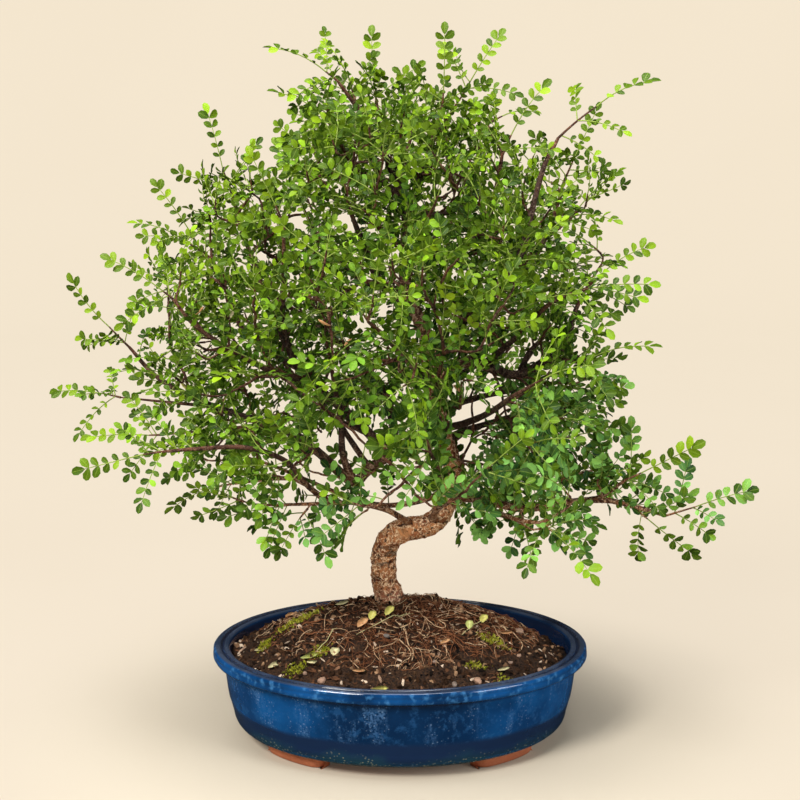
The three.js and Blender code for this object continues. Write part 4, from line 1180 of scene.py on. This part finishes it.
shoots = cad_shoots()
extras = extra_shoots(shoots)
twig_lines = []
for shoot in shoots:
    if shoot["root"]:
        twig_lines.append([shoot["root"].lerp(shoot["base"], i / 6) for i in range(7)])
twig_lines += [shoot["twig"] for shoot in extras]
twig_girths = []
for line in twig_lines:
    length = sum((b - a).length for a, b in zip(line, line[1:]))
    root = min(TWIG_ROOT, 0.75 + length / 100)
    twig_girths.append([(root + (TWIG_TIP - root) * i / (len(line) - 1)) * MM for i in range(len(line))])
twig_routes = [[point * MM for point in line] for line in twig_lines]
twigs = routes_object("side_twigs", twig_routes, girth=twig_girths)
grown(twigs, STEMS, Sides=5, Ring_Spacing=0.0034, Knob_Size=0.005, Knob_Height=0.3, Scale_Height=0.25,
      Finish=BARK)
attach(twigs, "root")


# The foliage. Compound leaves of 9 to 13 small leaflets in opposite pairs, with one at the end, fan out from
# every shoot. A leaflet is glossy and folded a little at its midrib.
END_LEAF = 46
SIDE_LEAF = 41
THREE_LEAFED = [
    "left_stem_back", "back_right", "back_middle", "front_right", "front_middle_side_12",
    "right_riser_side_13",
]
SHORTEST_STEM = 8
FORK_ANGLE = math.radians(60)
FORK_SETBACK = 14
FIRST_FORK = 3
BOW = 0.08
ROLLS = [0, 0.3, -0.3, 0.6, -0.6, 0.9, -0.9, 1.2, -1.2]
WOOD_ROOM = 4
LEAF_ROOM = 7
RIB_SHARE = 0.765
LEAFLET = [
    # how far along, the half width and the height of the midrib, in shares of the leaflet's length
    (0.17, 0.175, 0.022), (0.52, 0.325, 0.026), (0.84, 0.235, -0.012),
]
LEAFLET_FOLD = 0.3
LEAFLET_THICK = 0.03


def leaflet_object():
    """One leaflet of unit length along X, closed and thin, with its underside marked."""
    points, beside, along = [(0, 0, 0)], [0], [0]
    for share, half, height in LEAFLET:
        lift = LEAFLET_FOLD * half
        points += [(share, 0, height), (share, half, height + lift), (share, 0, height - LEAFLET_THICK),
                   (share, -half, height + lift)]
        beside += [0, 1, 0, 1]
        along += [share] * 4
    points.append((1, 0, -0.055))
    beside.append(0)
    along.append(1)
    faces, under = [], []
    for side in range(4):
        after = (side + 1) % 4
        below = 1 if side in (1, 2) else 0
        faces.append((0, 1 + after, 1 + side))
        for row in range(1, 4 * len(LEAFLET) - 3, 4):
            faces.append((row + side, row + after, row + 4 + after, row + 4 + side))
        faces.append((len(points) - 1, len(points) - 5 + side, len(points) - 5 + after))
        under += [below] * (len(LEAFLET) + 1)
    mesh = mesh_of("leaflet", points, faces)
    mesh.attributes.new("under", "FLOAT", "FACE").data.foreach_set("value", under)
    mark(mesh, beside=beside, along=along, blade=[1] * len(points))
    at_rim = [value == 1 for value in beside]
    at_end = [value in (0, 1) for value in along]
    sharp = mesh.attributes.new("sharp_edge", "BOOLEAN", "EDGE")
    sharp.data.foreach_set("value", [
        any(at_rim[i] for i in edge.vertices) and all(at_rim[i] or at_end[i] for i in edge.vertices)
        for edge in mesh.edges])
    return new_object("leaflet", mesh)


def leaf_tree():
    """Pairs of leaflets along each rib, one more at its end, and the rib itself."""
    tree, ins, outs = new_tree("leaflets along ribs", {
        "Leaflet": ("Object", None), "Length": ("Float", 0.0079), "Rib Width": ("Float", 0.0007),
        "First Pair": ("Float", 0.24), "Last Pair": ("Float", 0.93), "Angle": ("Float", 0.95),
        "Seed": ("Float", 1.0), "Finish": ("Material", None)})
    rib = put("GeometryNodeMeshToCurve", {0: ins["Geometry"]}).outputs[0]
    rib = put("GeometryNodeResampleCurve", {"Curve": rib, "Count": 8}, mode="COUNT").outputs[0]
    leaflet = put("GeometryNodeObjectInfo", {"Object": ins["Leaflet"]}).outputs["Geometry"]
    face = read("face", "FLOAT_VECTOR")
    ahead = put("GeometryNodeInputTangent").outputs[0]
    across = vector_of("CROSS_PRODUCT", face, ahead)
    growth = put("GeometryNodeSplineParameter").outputs["Factor"]
    fullness = put("ShaderNodeMapRange", {"Value": growth, 3: 0.68, 4: 1.0}).outputs[0]
    length = times(ins["Length"], read("size"))
    paired = put("GeometryNodeTrimCurve", {"Curve": rib, 2: ins["First Pair"], 3: ins["Last Pair"]},
                 mode="FACTOR").outputs[0]
    paired = put("GeometryNodeResampleCurve", {"Curve": paired, "Count": read("pairs", "INT")},
                 mode="COUNT").outputs[0]
    parts = []
    for number, side in enumerate((1.0, -1.0)):
        base = 10 * number
        angle = math_of("ADD", ins["Angle"], random_of(ins, -0.14, 0.14, base + 1))
        lean = random_of(ins, -0.3, 0.45, base + 2)
        forward = vector_of("SCALE", ahead, scale=math_of("COSINE", angle))
        outward_way = vector_of("SCALE", across, scale=times(math_of("SINE", angle), side))
        point_way = vector_of("ADD", vector_of("ADD", forward, outward_way),
                              vector_of("SCALE", face, scale=lean))
        tip = random_of(ins, -0.6, 0.5, base + 3)
        upper = vector_of("ADD", face, vector_of("SCALE", ahead, scale=tip))
        turn = put("FunctionNodeAxesToRotation", {0: point_way, 1: upper}, primary_axis="X",
                   secondary_axis="Z").outputs[0]
        long = times(times(length, fullness), random_of(ins, 0.88, 1.1, base + 4))
        wide = times(long, random_of(ins, 0.88, 1.12, base + 5))
        scale = xyz(long, wide, long)
        parts.append(planted(leaflet, turn, scale, random_of(ins, 0.0, 1.0, base + 6), Points=paired))
    turn = put("FunctionNodeAxesToRotation", {0: ahead, 1: face}, primary_axis="X",
               secondary_axis="Z").outputs[0]
    long = times(length, random_of(ins, 1.0, 1.15, 31))
    scale = xyz(long, times(long, 0.92), long)
    tip = put("GeometryNodeCurveEndpointSelection", {"Start Size": 0, "End Size": 1}).outputs[0]
    parts.append(planted(leaflet, turn, scale, random_of(ins, 0.0, 1.0, 32), Points=rib, Selection=tip))
    thinning = put("ShaderNodeMapRange", {"Value": growth, 3: 0.6, 4: 0.34}).outputs[0]
    thin = times(ins["Rib Width"], thinning)
    ring = put("GeometryNodeCurvePrimitiveCircle", {"Resolution": 4, "Radius": 1.0}).outputs[0]
    stalk = put("GeometryNodeCurveToMesh", {
        "Curve": rib, "Profile Curve": ring, "Scale": thin, "Fill Caps": True}).outputs[0]
    join = put("GeometryNodeJoinGeometry")
    for part in (*parts, stalk):
        feed(join.inputs[0], part)
    real = put("GeometryNodeRealizeInstances", {"Geometry": join.outputs[0]}).outputs[0]
    return ended(tree, real, ins, outs)


def leaf_material():
    """Leaf green by age and painted shade, shoot and leaflet, with a pale midrib and faint side veins, and
    dull below.
    """
    material, place, patches, grain = new_material("living_leaf", 260.0, 900.0, Specular_IOR_Level=0.13)
    mark = {name: mark_at(name)
            for name in ("age", "tint", "under", "beside", "along", "blade")}
    age = times_plus(math_of("SUBTRACT", mark["tint"], 0.5), 0.35, mark["age"])
    age = times_plus(math_of("SUBTRACT", patches, 0.5), 0.15, age)
    shade = math_of("POWER", mark["tint"], 2.2)
    youngest = blend(shade, (0.056, 0.110, 0.003), (0.260, 0.385, 0.010))
    young = blend(shade, (0.022, 0.058, 0.002), (0.250, 0.405, 0.008))
    middle = blend(shade, (0.005, 0.026, 0.002), (0.225, 0.440, 0.016))
    # The old colours run to near black: partly older leaves, partly painted shade deep inside the crown.
    old = blend(shade, (0.001, 0.009, 0.002), (0.145, 0.360, 0.028))
    emerald_and_painted_light = blend(shade, (0.009, 0.064, 0.016), (0.265, 0.585, 0.140))
    colour = blend(fade(age, -0.4, 0.05), youngest, young)
    colour = blend(fade(age, 0.05, 0.45), colour, middle)
    colour = blend(fade(age, 0.45, 0.95), colour, old)
    # Low on the right the leaves turn a cooler emerald, whose bright end is raised as painted light against
    # the crown's shade.
    x, _, z = put("ShaderNodeSeparateXYZ", {0: place}).outputs
    low = fade(times_plus(x, -0.33, z), 0.26, 0.17)
    low = times(low, times(fade(age, 0.1, 0.5), 0.8))
    colour = blend(low, colour, emerald_and_painted_light)
    vein = times_plus(mark["beside"], -0.12, mark["along"])
    vein = fade(math_of("SINE", times(vein, 62.0)), 0.55, 1.0)
    colour = blend(times(vein, 0.12), colour, (0.24, 0.36, 0.05))
    midrib = fade(mark["beside"], 0.11, 0.03)
    colour = blend(times(midrib, 0.4), colour, (0.28, 0.40, 0.06))
    pale = blend(0.3, colour, (0.10, 0.19, 0.035))
    colour = blend(mark["under"], colour, pale)
    stalk = blend(fade(mark["age"], 0.0, 0.9), (0.24, 0.32, 0.06), (0.11, 0.14, 0.03))
    colour = blend(mark["blade"], stalk, colour)
    gloss = times_plus(mark["under"], 0.2, times_plus(grain, 0.12, 0.32))
    return coated(material, colour, gloss, (times_plus(vein, 0.6, grain), 0.25, 0.0003))


def shoot_axes(base, aim, roll):
    """The way a shoot points, the way its leaves face, and across, as the frame's sprays have them."""
    ahead = (aim - base).normalized()
    face = (base - CROWN_HEART).normalized() * 0.6 + Vector((0, 0.4 if base.y > 45 else -0.4, 0.6))
    face = (face - ahead * face.dot(ahead)).normalized()
    face = face * math.cos(roll) + ahead.cross(face) * math.sin(roll)
    return ahead, face, face.cross(ahead)


def shoot_plan(length):
    """The end leaf's length, the stem's, and how far along it the side leaf forks off."""
    end_leaf = min(END_LEAF, length - SHORTEST_STEM)
    stem = length - end_leaf
    return end_leaf, stem, max(stem - FORK_SETBACK, FIRST_FORK)


def flat_probes(length, sides):
    end_leaf, stem, fork = shoot_plan(length)
    probes = []
    leaves = [(end_leaf, stem, 0.0)] + [(SIDE_LEAF, fork, FORK_ANGLE * side) for side in sides]
    for reach, at, way in leaves:
        for share in (0.2, 0.4, 0.6, 0.8, 1):
            for y in ((-9, 0, 9) if share < 1 else (0, 0, 0)):
                x = reach * share
                ahead, aside = x * math.cos(way) - y * math.sin(way), x * math.sin(way) + y * math.cos(way)
                probes.append((at + ahead, aside))
    return probes


def shoot_point(base, axes, length, x, y, z=0.0):
    """A point of the flat shoot in its place, bowed along its length and folded across."""
    ahead, face, across = axes
    bow = BOW * length * 4 * (x / length) * (1 - x / length)
    fold = 0.25 * abs(y) * (1 - abs(y) / 60)
    return base + ahead * x + across * y + face * (z + bow - fold)


def settle(shoot, index, wood_at, wood_radius, leaves_at):
    """The side and the roll that the frame's spray took: the first with room around it, or the roomiest."""
    length = (shoot["aim"] - shoot["base"]).length
    first = -1 if draw(index + 0.5) < 0.5 else 1
    base = np.array(shoot["base"])
    near = np.linalg.norm(wood_at - base, axis=1) > WOOD_ROOM
    best = (-1,)
    for side in (first, -first):
        sides = (side, -side) if shoot["name"] in THREE_LEAFED else (side,)
        for roll in ROLLS:
            axes = shoot_axes(shoot["base"], shoot["aim"], roll)
            flat = flat_probes(length, sides)
            probes = np.array([shoot_point(shoot["base"], axes, length, x, y) for x, y in flat])
            away = np.linalg.norm(probes[:, None] - wood_at[None, near], axis=2) - wood_radius[near]
            room = away.min() / WOOD_ROOM
            if len(leaves_at):
                gaps = np.linalg.norm(probes[:, None] - np.array(leaves_at)[None], axis=2)
                room = min(room, gaps.min() / LEAF_ROOM)
            if room > best[0]:
                best = (room, side, roll, probes)
            if room >= 1:
                return best
    return best


def settle_all():
    places, radii = [], []
    for name, route in ROUTES.items():
        steps = len(route) * 5
        for i in range(steps + 1):
            places.append(route_point(route, i / steps))
            radii.append(limb_radius(*LIMBS[name][:2], i / steps))
    for shoot in shoots:
        if shoot["root"]:
            places += [shoot["root"].lerp(shoot["base"], i / 12) for i in range(13)]
            radii += [TWIG_END] * 13
    wood_at, wood_radius, leaves_at = np.array(places), np.array(radii), []
    for index, shoot in enumerate(shoots):
        _, shoot["side"], shoot["roll"], probes = settle(shoot, index, wood_at, wood_radius, leaves_at)
        leaves_at += [tuple(probe) for probe in probes]


def leaf_age(place):
    """0 for young leaves, high up and to the left, and 1 for old ones, low and to the right; deep inside it
    rises further as painted shade.
    """
    height = place.z - place.x * 0.33 + 0.12 * place.y
    low = min(1.0, max(0.0, (352 - height) / 170))
    return 0.05 + low * 0.25 + 0.95 * max(0.0, 0.85 - crown_share(place))


leaves = []
grow = np.random.default_rng(40)


def add_leaf(region, start, way, face, length, age, pairs=None, arch=0.09):
    """Lays one compound leaf's rib down for the leaflets to grow on."""
    way = way.normalized()
    face = (face - way * face.dot(way)).normalized()
    spin = grow.normal(0, 0.22)
    face = face * math.cos(spin) + way.cross(face) * math.sin(spin)
    droop = grow.uniform(-0.02, 0.16)
    sway = way.cross(face) * grow.normal(0, 0.05)
    rib, faces = [], []
    for i in range(7):
        u = i / 6 * RIB_SHARE
        bend = face * (arch * 4 * u * (1 - u) * length) + sway * (u * u * length)
        rib.append((start + way * (u * length) + bend - Vector((0, 0, droop * u * u * length))) * MM)
        faces.append(tuple(face))
    count = pairs or (6 if length > 47 else 5 if length > 36 else 4 if length > 27 else 3)
    lower = min(1.0, max(0.0, (300 - start.z + 0.33 * start.x) / 130))
    size = min(1.12, max(0.8, length / 44)) * grow.uniform(0.92, 1.06) * (0.9 + 0.22 * lower)
    leaves.append((region, rib, faces, count, size, age + grow.normal(0, 0.12)))


def region_of(place):
    if place.z > 345:
        return "top"
    return f"{'left' if place.x < 0 else 'right'}_{'front' if place.y < 10 else 'back'}"


def clear(start, way):
    """Whether a leaf that starts here and runs this way leaves the openings and the trunk's front clear."""
    way = way.normalized()
    if hides_trunk(start + way * 34):
        return False
    return not any(in_opening(start + way * reach) for reach in (12, 23, 34))


def add_fan(shoot, index):
    """All the leaves of one shoot: an end leaf, the side leaf, and two or three more around the stem."""
    base, aim = shoot["base"], shoot["aim"]
    side, roll = shoot.get("side", 1 if index % 2 else -1), shoot.get("roll", grow.uniform(-0.4, 0.4))
    length = (aim - base).length
    end_leaf, stem, fork = shoot_plan(length)
    axes = shoot_axes(base, aim, roll)
    ahead, face, across = axes
    region, age = region_of(base), leaf_age(aim) - 0.1
    if shoot["name"] == "front_shoot":
        age = -0.45

    def point(x, y=0.0):
        return shoot_point(base, axes, length, x, y)

    shoot["stem"] = [point(x) for x in np.linspace(-0.5, stem, 5)]
    add_leaf(region, point(stem), point(length) - point(stem), face, end_leaf, age - 0.1)
    turn = FORK_ANGLE * side
    reach = SIDE_LEAF if "side" in shoot else SIDE_LEAF * grow.uniform(0.8, 1.05)
    tip = point(fork + reach * math.cos(turn), reach * math.sin(turn))
    add_leaf(region, point(fork), tip - point(fork), face, reach, age)
    three = shoot["name"] in THREE_LEAFED
    if hides_trunk(aim):
        return
    turn = math.radians(60 if three else grow.uniform(42, 62)) * -side
    way = ahead * math.cos(turn) + across * math.sin(turn) - face * (0.1 if three else 0.2)
    if three or clear(point(fork), way):
        add_leaf(region, point(fork), way, face, SIDE_LEAF if three else grow.uniform(30, 42), age + 0.05)
    for _ in range(1 if index % 3 else 2):
        spin = grow.uniform(0, math.tau)
        way = ahead * 0.45 + across * math.cos(spin) + face * math.sin(spin) * 0.8
        start = point(grow.uniform(0.5, stem))
        if clear(start, way):
            add_leaf(region, start, way, face + way * 0.1, grow.uniform(26, 38), age + 0.15)


def add_limb_leaves():
    """Single leaves, left and right in turn, along the outer part of each limb and twig."""
    lines = [(ROUTES[name], 0.42 if name != "trunk" else 0.72) for name in LIMBS]
    lines += [(shoot["twig"], 0.35) for shoot in extras]
    for route, first in lines:
        length = sum((b - a).length for a, b in zip(route, route[1:]))
        reach = length * first + 4
        turn = grow.uniform(0, math.tau)
        while reach < length - 3:
            place = route_point(route, reach / length)
            along = (route_point(route, min(1, reach / length + 0.03)) - place).normalized()
            turn += math.pi + grow.normal(0, 0.5)
            reach += grow.uniform(9, 17)
            out = along.cross(Vector((math.cos(turn), math.sin(turn), 0.35))).normalized()
            way = along * 0.55 + out + Vector((0, 0, 0.15))
            if place.z < 148 or crown_share(place + way.normalized() * 34) > 1.0 or not clear(place, way):
                continue
            tilt = Vector((0, 0.35 if place.y > 45 else -0.35, 0.7))
            face = (place - CROWN_HEART).normalized() * 0.5 + tilt
            add_leaf(region_of(place), place, way, face, grow.uniform(28, 42), leaf_age(place) + 0.1)


settle_all()
for index, shoot in enumerate(shoots + extras):
    add_fan(shoot, index)
add_limb_leaves()
stem_lines = [shoot["stem"] for shoot in shoots + extras]
stems = routes_object("leafy_shoot_stems", [[point * MM for point in line] for line in stem_lines],
                      girth=[[(0.85 - 0.09 * i) * MM for i in range(5)] for _ in stem_lines])
grown(stems, STEMS, Sides=5, Ring_Spacing=0.0022, Finish=BARK)
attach(stems, "root")

LEAF_FINISH = leaf_material()
LEAF_TREE = leaf_tree()
leaflet_pattern = leaflet_object()
for number, region in enumerate(("top", "left_front", "left_back", "right_front", "right_back")):
    own = [leaf for leaf in leaves if leaf[0] == region]
    foliage = routes_object(
        f"leaves_{region}", [leaf[1] for leaf in own], face=[leaf[2] for leaf in own],
        size=[[leaf[4]] * 7 for leaf in own], age=[[leaf[5]] * 7 for leaf in own])
    pairs = [leaf[3] for leaf in own for _ in range(7)]
    foliage.data.attributes.new("pairs", "INT", "POINT").data.foreach_set("value", pairs)
    grown(foliage, LEAF_TREE, Leaflet=leaflet_pattern, Seed=50.0 + number, Finish=LEAF_FINISH)
    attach(foliage, "root")
    names = [f"spray_{shoot['name']}" for shoot in shoots if region_of(shoot["base"]) == region]
    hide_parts(*names)


# The dry leaves. A few shed leaflets, some still on their stalk, lie on the soil where the photograph has
# them, and a few hang in the crown. They are thin, curled and dry, and have turned yellow, cream or orange.
YELLOW, CREAM = (0.86, 0.80, 0.20), (0.86, 0.78, 0.44)
PALE_GREEN, ORANGE = (0.62, 0.68, 0.22), (0.80, 0.40, 0.19)
FALLEN = [
    # x and y in millimetres, the length, the way it lies in degrees, its tilt in degrees, and its colour
    (-20, -86, 13.5, 4, 10, YELLOW), (-42, -56, 10, 84, 16, CREAM), (-84, -51, 10, 35, 16, CREAM),
    (-63, -54, 12, 12, 12, PALE_GREEN), (-58, -58, 10, -60, 14, CREAM), (-27, -33, 11, 55, 24, ORANGE),
    (-19, -27, 9, 75, 30, YELLOW), (-9, -23, 10, 60, 28, YELLOW), (-43, 3, 9.5, 12, 14, CREAM),
    (54, -16, 9, 70, 26, YELLOW), (45, -30, 8.5, 85, 30, PALE_GREEN), (-95, -27, 9, 20, 10, CREAM),
    (-30, -70, 9, -20, 8, ORANGE), (26, -48, 8, 35, 15, ORANGE), (62, -61, 8, 10, 12, CREAM),
    (-78, 20, 8, 40, 12, ORANGE), (66, -24, 8, -15, 12, ORANGE),
]
CAUGHT = [
    # dry leaflets that still hang in the crown: x and z seen from the front, and the same four as above
    (-122, 286, 9, 20, 40, ORANGE), (-116, 282, 8, 80, 60, CREAM), (-53, 272, 9, 200, 30, ORANGE),
    (-34, 260, 9, -30, 50, ORANGE), (50, 230, 8, 150, 40, ORANGE), (86, 206, 8, 30, 50, YELLOW),
    (-150, 210, 8, 160, 40, YELLOW), (8, 330, 8, 60, 50, ORANGE),
]
STALKS = [
    # the ends of each shed stalk: x and y in millimetres
    ((-55, -49), (-38, -28)), ((-28, -38), (10, -17)), ((40, -34), (58, -12)),
]


def dry_leaves():
    """The place, length, way, tilt and colour of every dry leaflet, on the soil and on the twigs."""
    rows = [(Vector((row[0], row[1], soil_height(row[0], row[1]) + 1.3)), *row[2:]) for row in FALLEN]
    twig_points = [point for shoot in extras for point in shoot["twig"][2:]]
    for x, z, *rest in CAUGHT:
        costs = [math.dist(seen_at(point), (x, z)) + 0.1 * point.y for point in twig_points]
        rows.append((twig_points[costs.index(min(costs))] + Vector((0, -0.4, 0)), *rest))
    return rows


def fallen_leaf_mesh():
    points, colours, faces, along, beside = [], [], [], [], []
    pattern = leaflet_pattern.data
    across, reach = (pattern.attributes[name].data for name in ("beside", "along"))
    for place, length, way, tilt, colour in dry_leaves():
        start = len(points)
        turn, slope = math.radians(way), math.radians(tilt)
        for vertex in pattern.vertices:
            u, v, w = vertex.co * length
            w += 0.15 * abs(v) + 0.7 * length * (vertex.co.x - 0.5) ** 2
            u, w = u * math.cos(slope) - w * math.sin(slope), u * math.sin(slope) + w * math.cos(slope)
            x, y = u * math.cos(turn) - v * math.sin(turn), u * math.sin(turn) + v * math.cos(turn)
            points.append((place + Vector((x, y, w))) * MM)
        faces += [tuple(start + i for i in face.vertices) for face in pattern.polygons]
        colours += [colour] * len(pattern.vertices)
        along += [item.value for item in reach]
        beside += [item.value for item in across]
    mesh = mesh_of("fallen_leaves", points, faces)
    mark(mesh, shade=colours, along=along, beside=beside)
    return mesh


def fallen_leaf_material():
    material, place, patches, grain = new_material(
        "dry_leaf", 500.0, 1600.0, Roughness=0.55, Specular_IOR_Level=0.3)
    colour = blend(times(patches, 0.35), mark_at("shade", "Color"), (0.30, 0.20, 0.06))
    rib = fade(mark_at("beside"), 0.12, 0.02)
    colour = blend(times(rib, 0.5), colour, (0.75, 0.70, 0.45))
    return coated(material, colour, relief=(grain, 0.3, 0.0003))


fallen = new_object("fallen_leaves", fallen_leaf_mesh())
fallen.data.materials.append(fallen_leaf_material())
bpy.data.objects.remove(leaflet_pattern)
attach(fallen, "root")

stalk_lines = []
for (x0, y0), (x1, y1) in STALKS:
    line = []
    for i in range(9):
        u = i / 8
        x, y = x0 + (x1 - x0) * u + 1.5 * math.sin(5 * u), y0 + (y1 - y0) * u
        line.append(Vector((x, y, soil_height(x, y) + 0.8 + 3 * math.sin(math.pi * u))) * MM)
    stalk_lines.append(line)
stalks = routes_object("fallen_stalks", stalk_lines, girth=[[0.27 * MM] * 9 for _ in STALKS],
                       tint=[[0.9] * 9 for _ in STALKS])
grown(stalks, STEMS, Sides=6, Ring_Spacing=0.0015,
      Finish=litter_material("dry_stalk", (0.25, 0.22, 0.09), (0.45, 0.42, 0.18), (0.60, 0.55, 0.28), 0.6))
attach(stalks, "root")


# The floor and backdrop. One pale cream surface lies flat under the pot and curves up all round, and it isn't
# part of the object.
PAPER_NEAR = (0.52, 0.458, 0.364)
PAPER_FAR = (0.10, 0.088, 0.072)
GLOW_NEAR = (0.040, 0.035, 0.028)
GLOW_FAR = (0.743, 0.647, 0.513)
GLOW_FARTHEST = (0.838, 0.733, 0.575)
FLOOR_BOUNCE = (0.52, 0.47, 0.39)
WALL_BOUNCE = (0.26, 0.245, 0.22)
PAPER_MIRRORED = (0.04, 0.045, 0.05)


def backdrop_material():
    """Cream paper. Near the pot it is lit by the lamps alone, and farther off it also glows."""
    material, place, patches, _ = new_material(
        "cream_paper", 3.0, 60.0, Roughness=0.9, Specular_IOR_Level=0.0, Emission_Strength=1.0)
    away = put("ShaderNodeVectorMath", {0: place}, operation="LENGTH").outputs["Value"]
    near = fade(away, 0.31, 0.13)
    paper = blend(near, PAPER_FAR, PAPER_NEAR)
    paper = blend(times(patches, 0.01), paper, (1, 1, 1))
    left = put("ShaderNodeMapRange", {"Value": away, 1: 0.3, 2: 2.1, 3: 1.0, 4: 0.0}).outputs[0]
    far = math_of("SUBTRACT", 1.0, math_of("POWER", left, 1.5))
    glow = blend(near, blend(far, GLOW_FAR, GLOW_FARTHEST), GLOW_NEAR)
    seen = put("ShaderNodeLightPath").outputs["Is Camera Ray"]
    mirrored = put("ShaderNodeLightPath").outputs["Is Glossy Ray"]
    height = height_at(place)
    bounced = blend(fade(height, 0.0, 0.5), FLOOR_BOUNCE, WALL_BOUNCE)
    bounced = blend(mirrored, bounced, PAPER_MIRRORED)
    return coated(material, blend(seen, bounced, paper), glow=blend(seen, (0, 0, 0), glow))


def backdrop_mesh(flat=2.0, curve=0.9, height=3.4, sides=96):
    points = [(0, 0, 0)]
    profile = [(flat * share, 0) for share in (0.15, 0.4, 0.7, 1)]
    for t in np.linspace(0.1, math.pi / 2, 14):
        profile.append((flat + curve * math.sin(t), curve * (1 - math.cos(t))))
    profile.append((flat + curve, height))
    for radius, z in profile:
        points += [(radius * math.cos(math.tau * i / sides), radius * math.sin(math.tau * i / sides), z)
                   for i in range(sides)]
    faces = [(0, 1 + i, 1 + (i + 1) % sides) for i in range(sides)]
    return mesh_of("backdrop", points, faces + bands(len(profile) - 1, sides, 1, inward=True))


backdrop = new_object("backdrop", backdrop_mesh())
backdrop.data.materials.append(backdrop_material())


# The light. Soft studio light: a broad lamp high to the left of the camera, a weaker one to the right, one
# overhead, and a pale sky.
def lamp(name, place, target, size, power, colour=(1, 1, 1)):
    data = bpy.data.lights.new(name, "AREA")
    data.shape = "RECTANGLE"
    data.size, data.size_y = size
    data.energy = power
    data.color = colour
    light = new_object(name, data)
    light.location = place
    light.rotation_euler = (Vector(target) - Vector(place)).to_track_quat("-Z", "Y").to_euler()
    return light


lamp("key_lamp", (-1.0, -1.4, 1.6), (0, 0, 0.22), (0.7, 0.7), 57, (1.0, 0.98, 0.94))
lamp("fill_lamp", (1.5, -1.2, 0.9), (0, 0, 0.2), (0.9, 0.9), 21, (0.97, 0.99, 1.0))
lamp("top_lamp", (-0.1, -0.25, 1.75), (0, 0, 0.1), (1.2, 0.8), 30)
sky = bpy.data.worlds.new("pale_sky")
bpy.context.scene.world = sky
sky.use_nodes = True
sky.node_tree.nodes["Background"].inputs["Color"].default_value = (0.97, 0.98, 1.0, 1)
sky.node_tree.nodes["Background"].inputs["Strength"].default_value = 0.2
bpy.context.scene.view_settings.view_transform = "Standard"
bpy.context.scene.view_settings.look = "None"

# The camera. It looks down a little from a metre in front, as the photograph does.
eye, target = Vector((0, -1.0, 0.416)), Vector((0, 0, 0.227))
camera_data = bpy.data.cameras.new("camera")
camera_data.sensor_width = 36
camera_data.lens = 36 * 1563 / 800
camera = new_object("camera", camera_data)
camera.location = eye
camera.rotation_euler = (target - eye).to_track_quat("-Z", "Y").to_euler()
bpy.context.scene.camera = camera
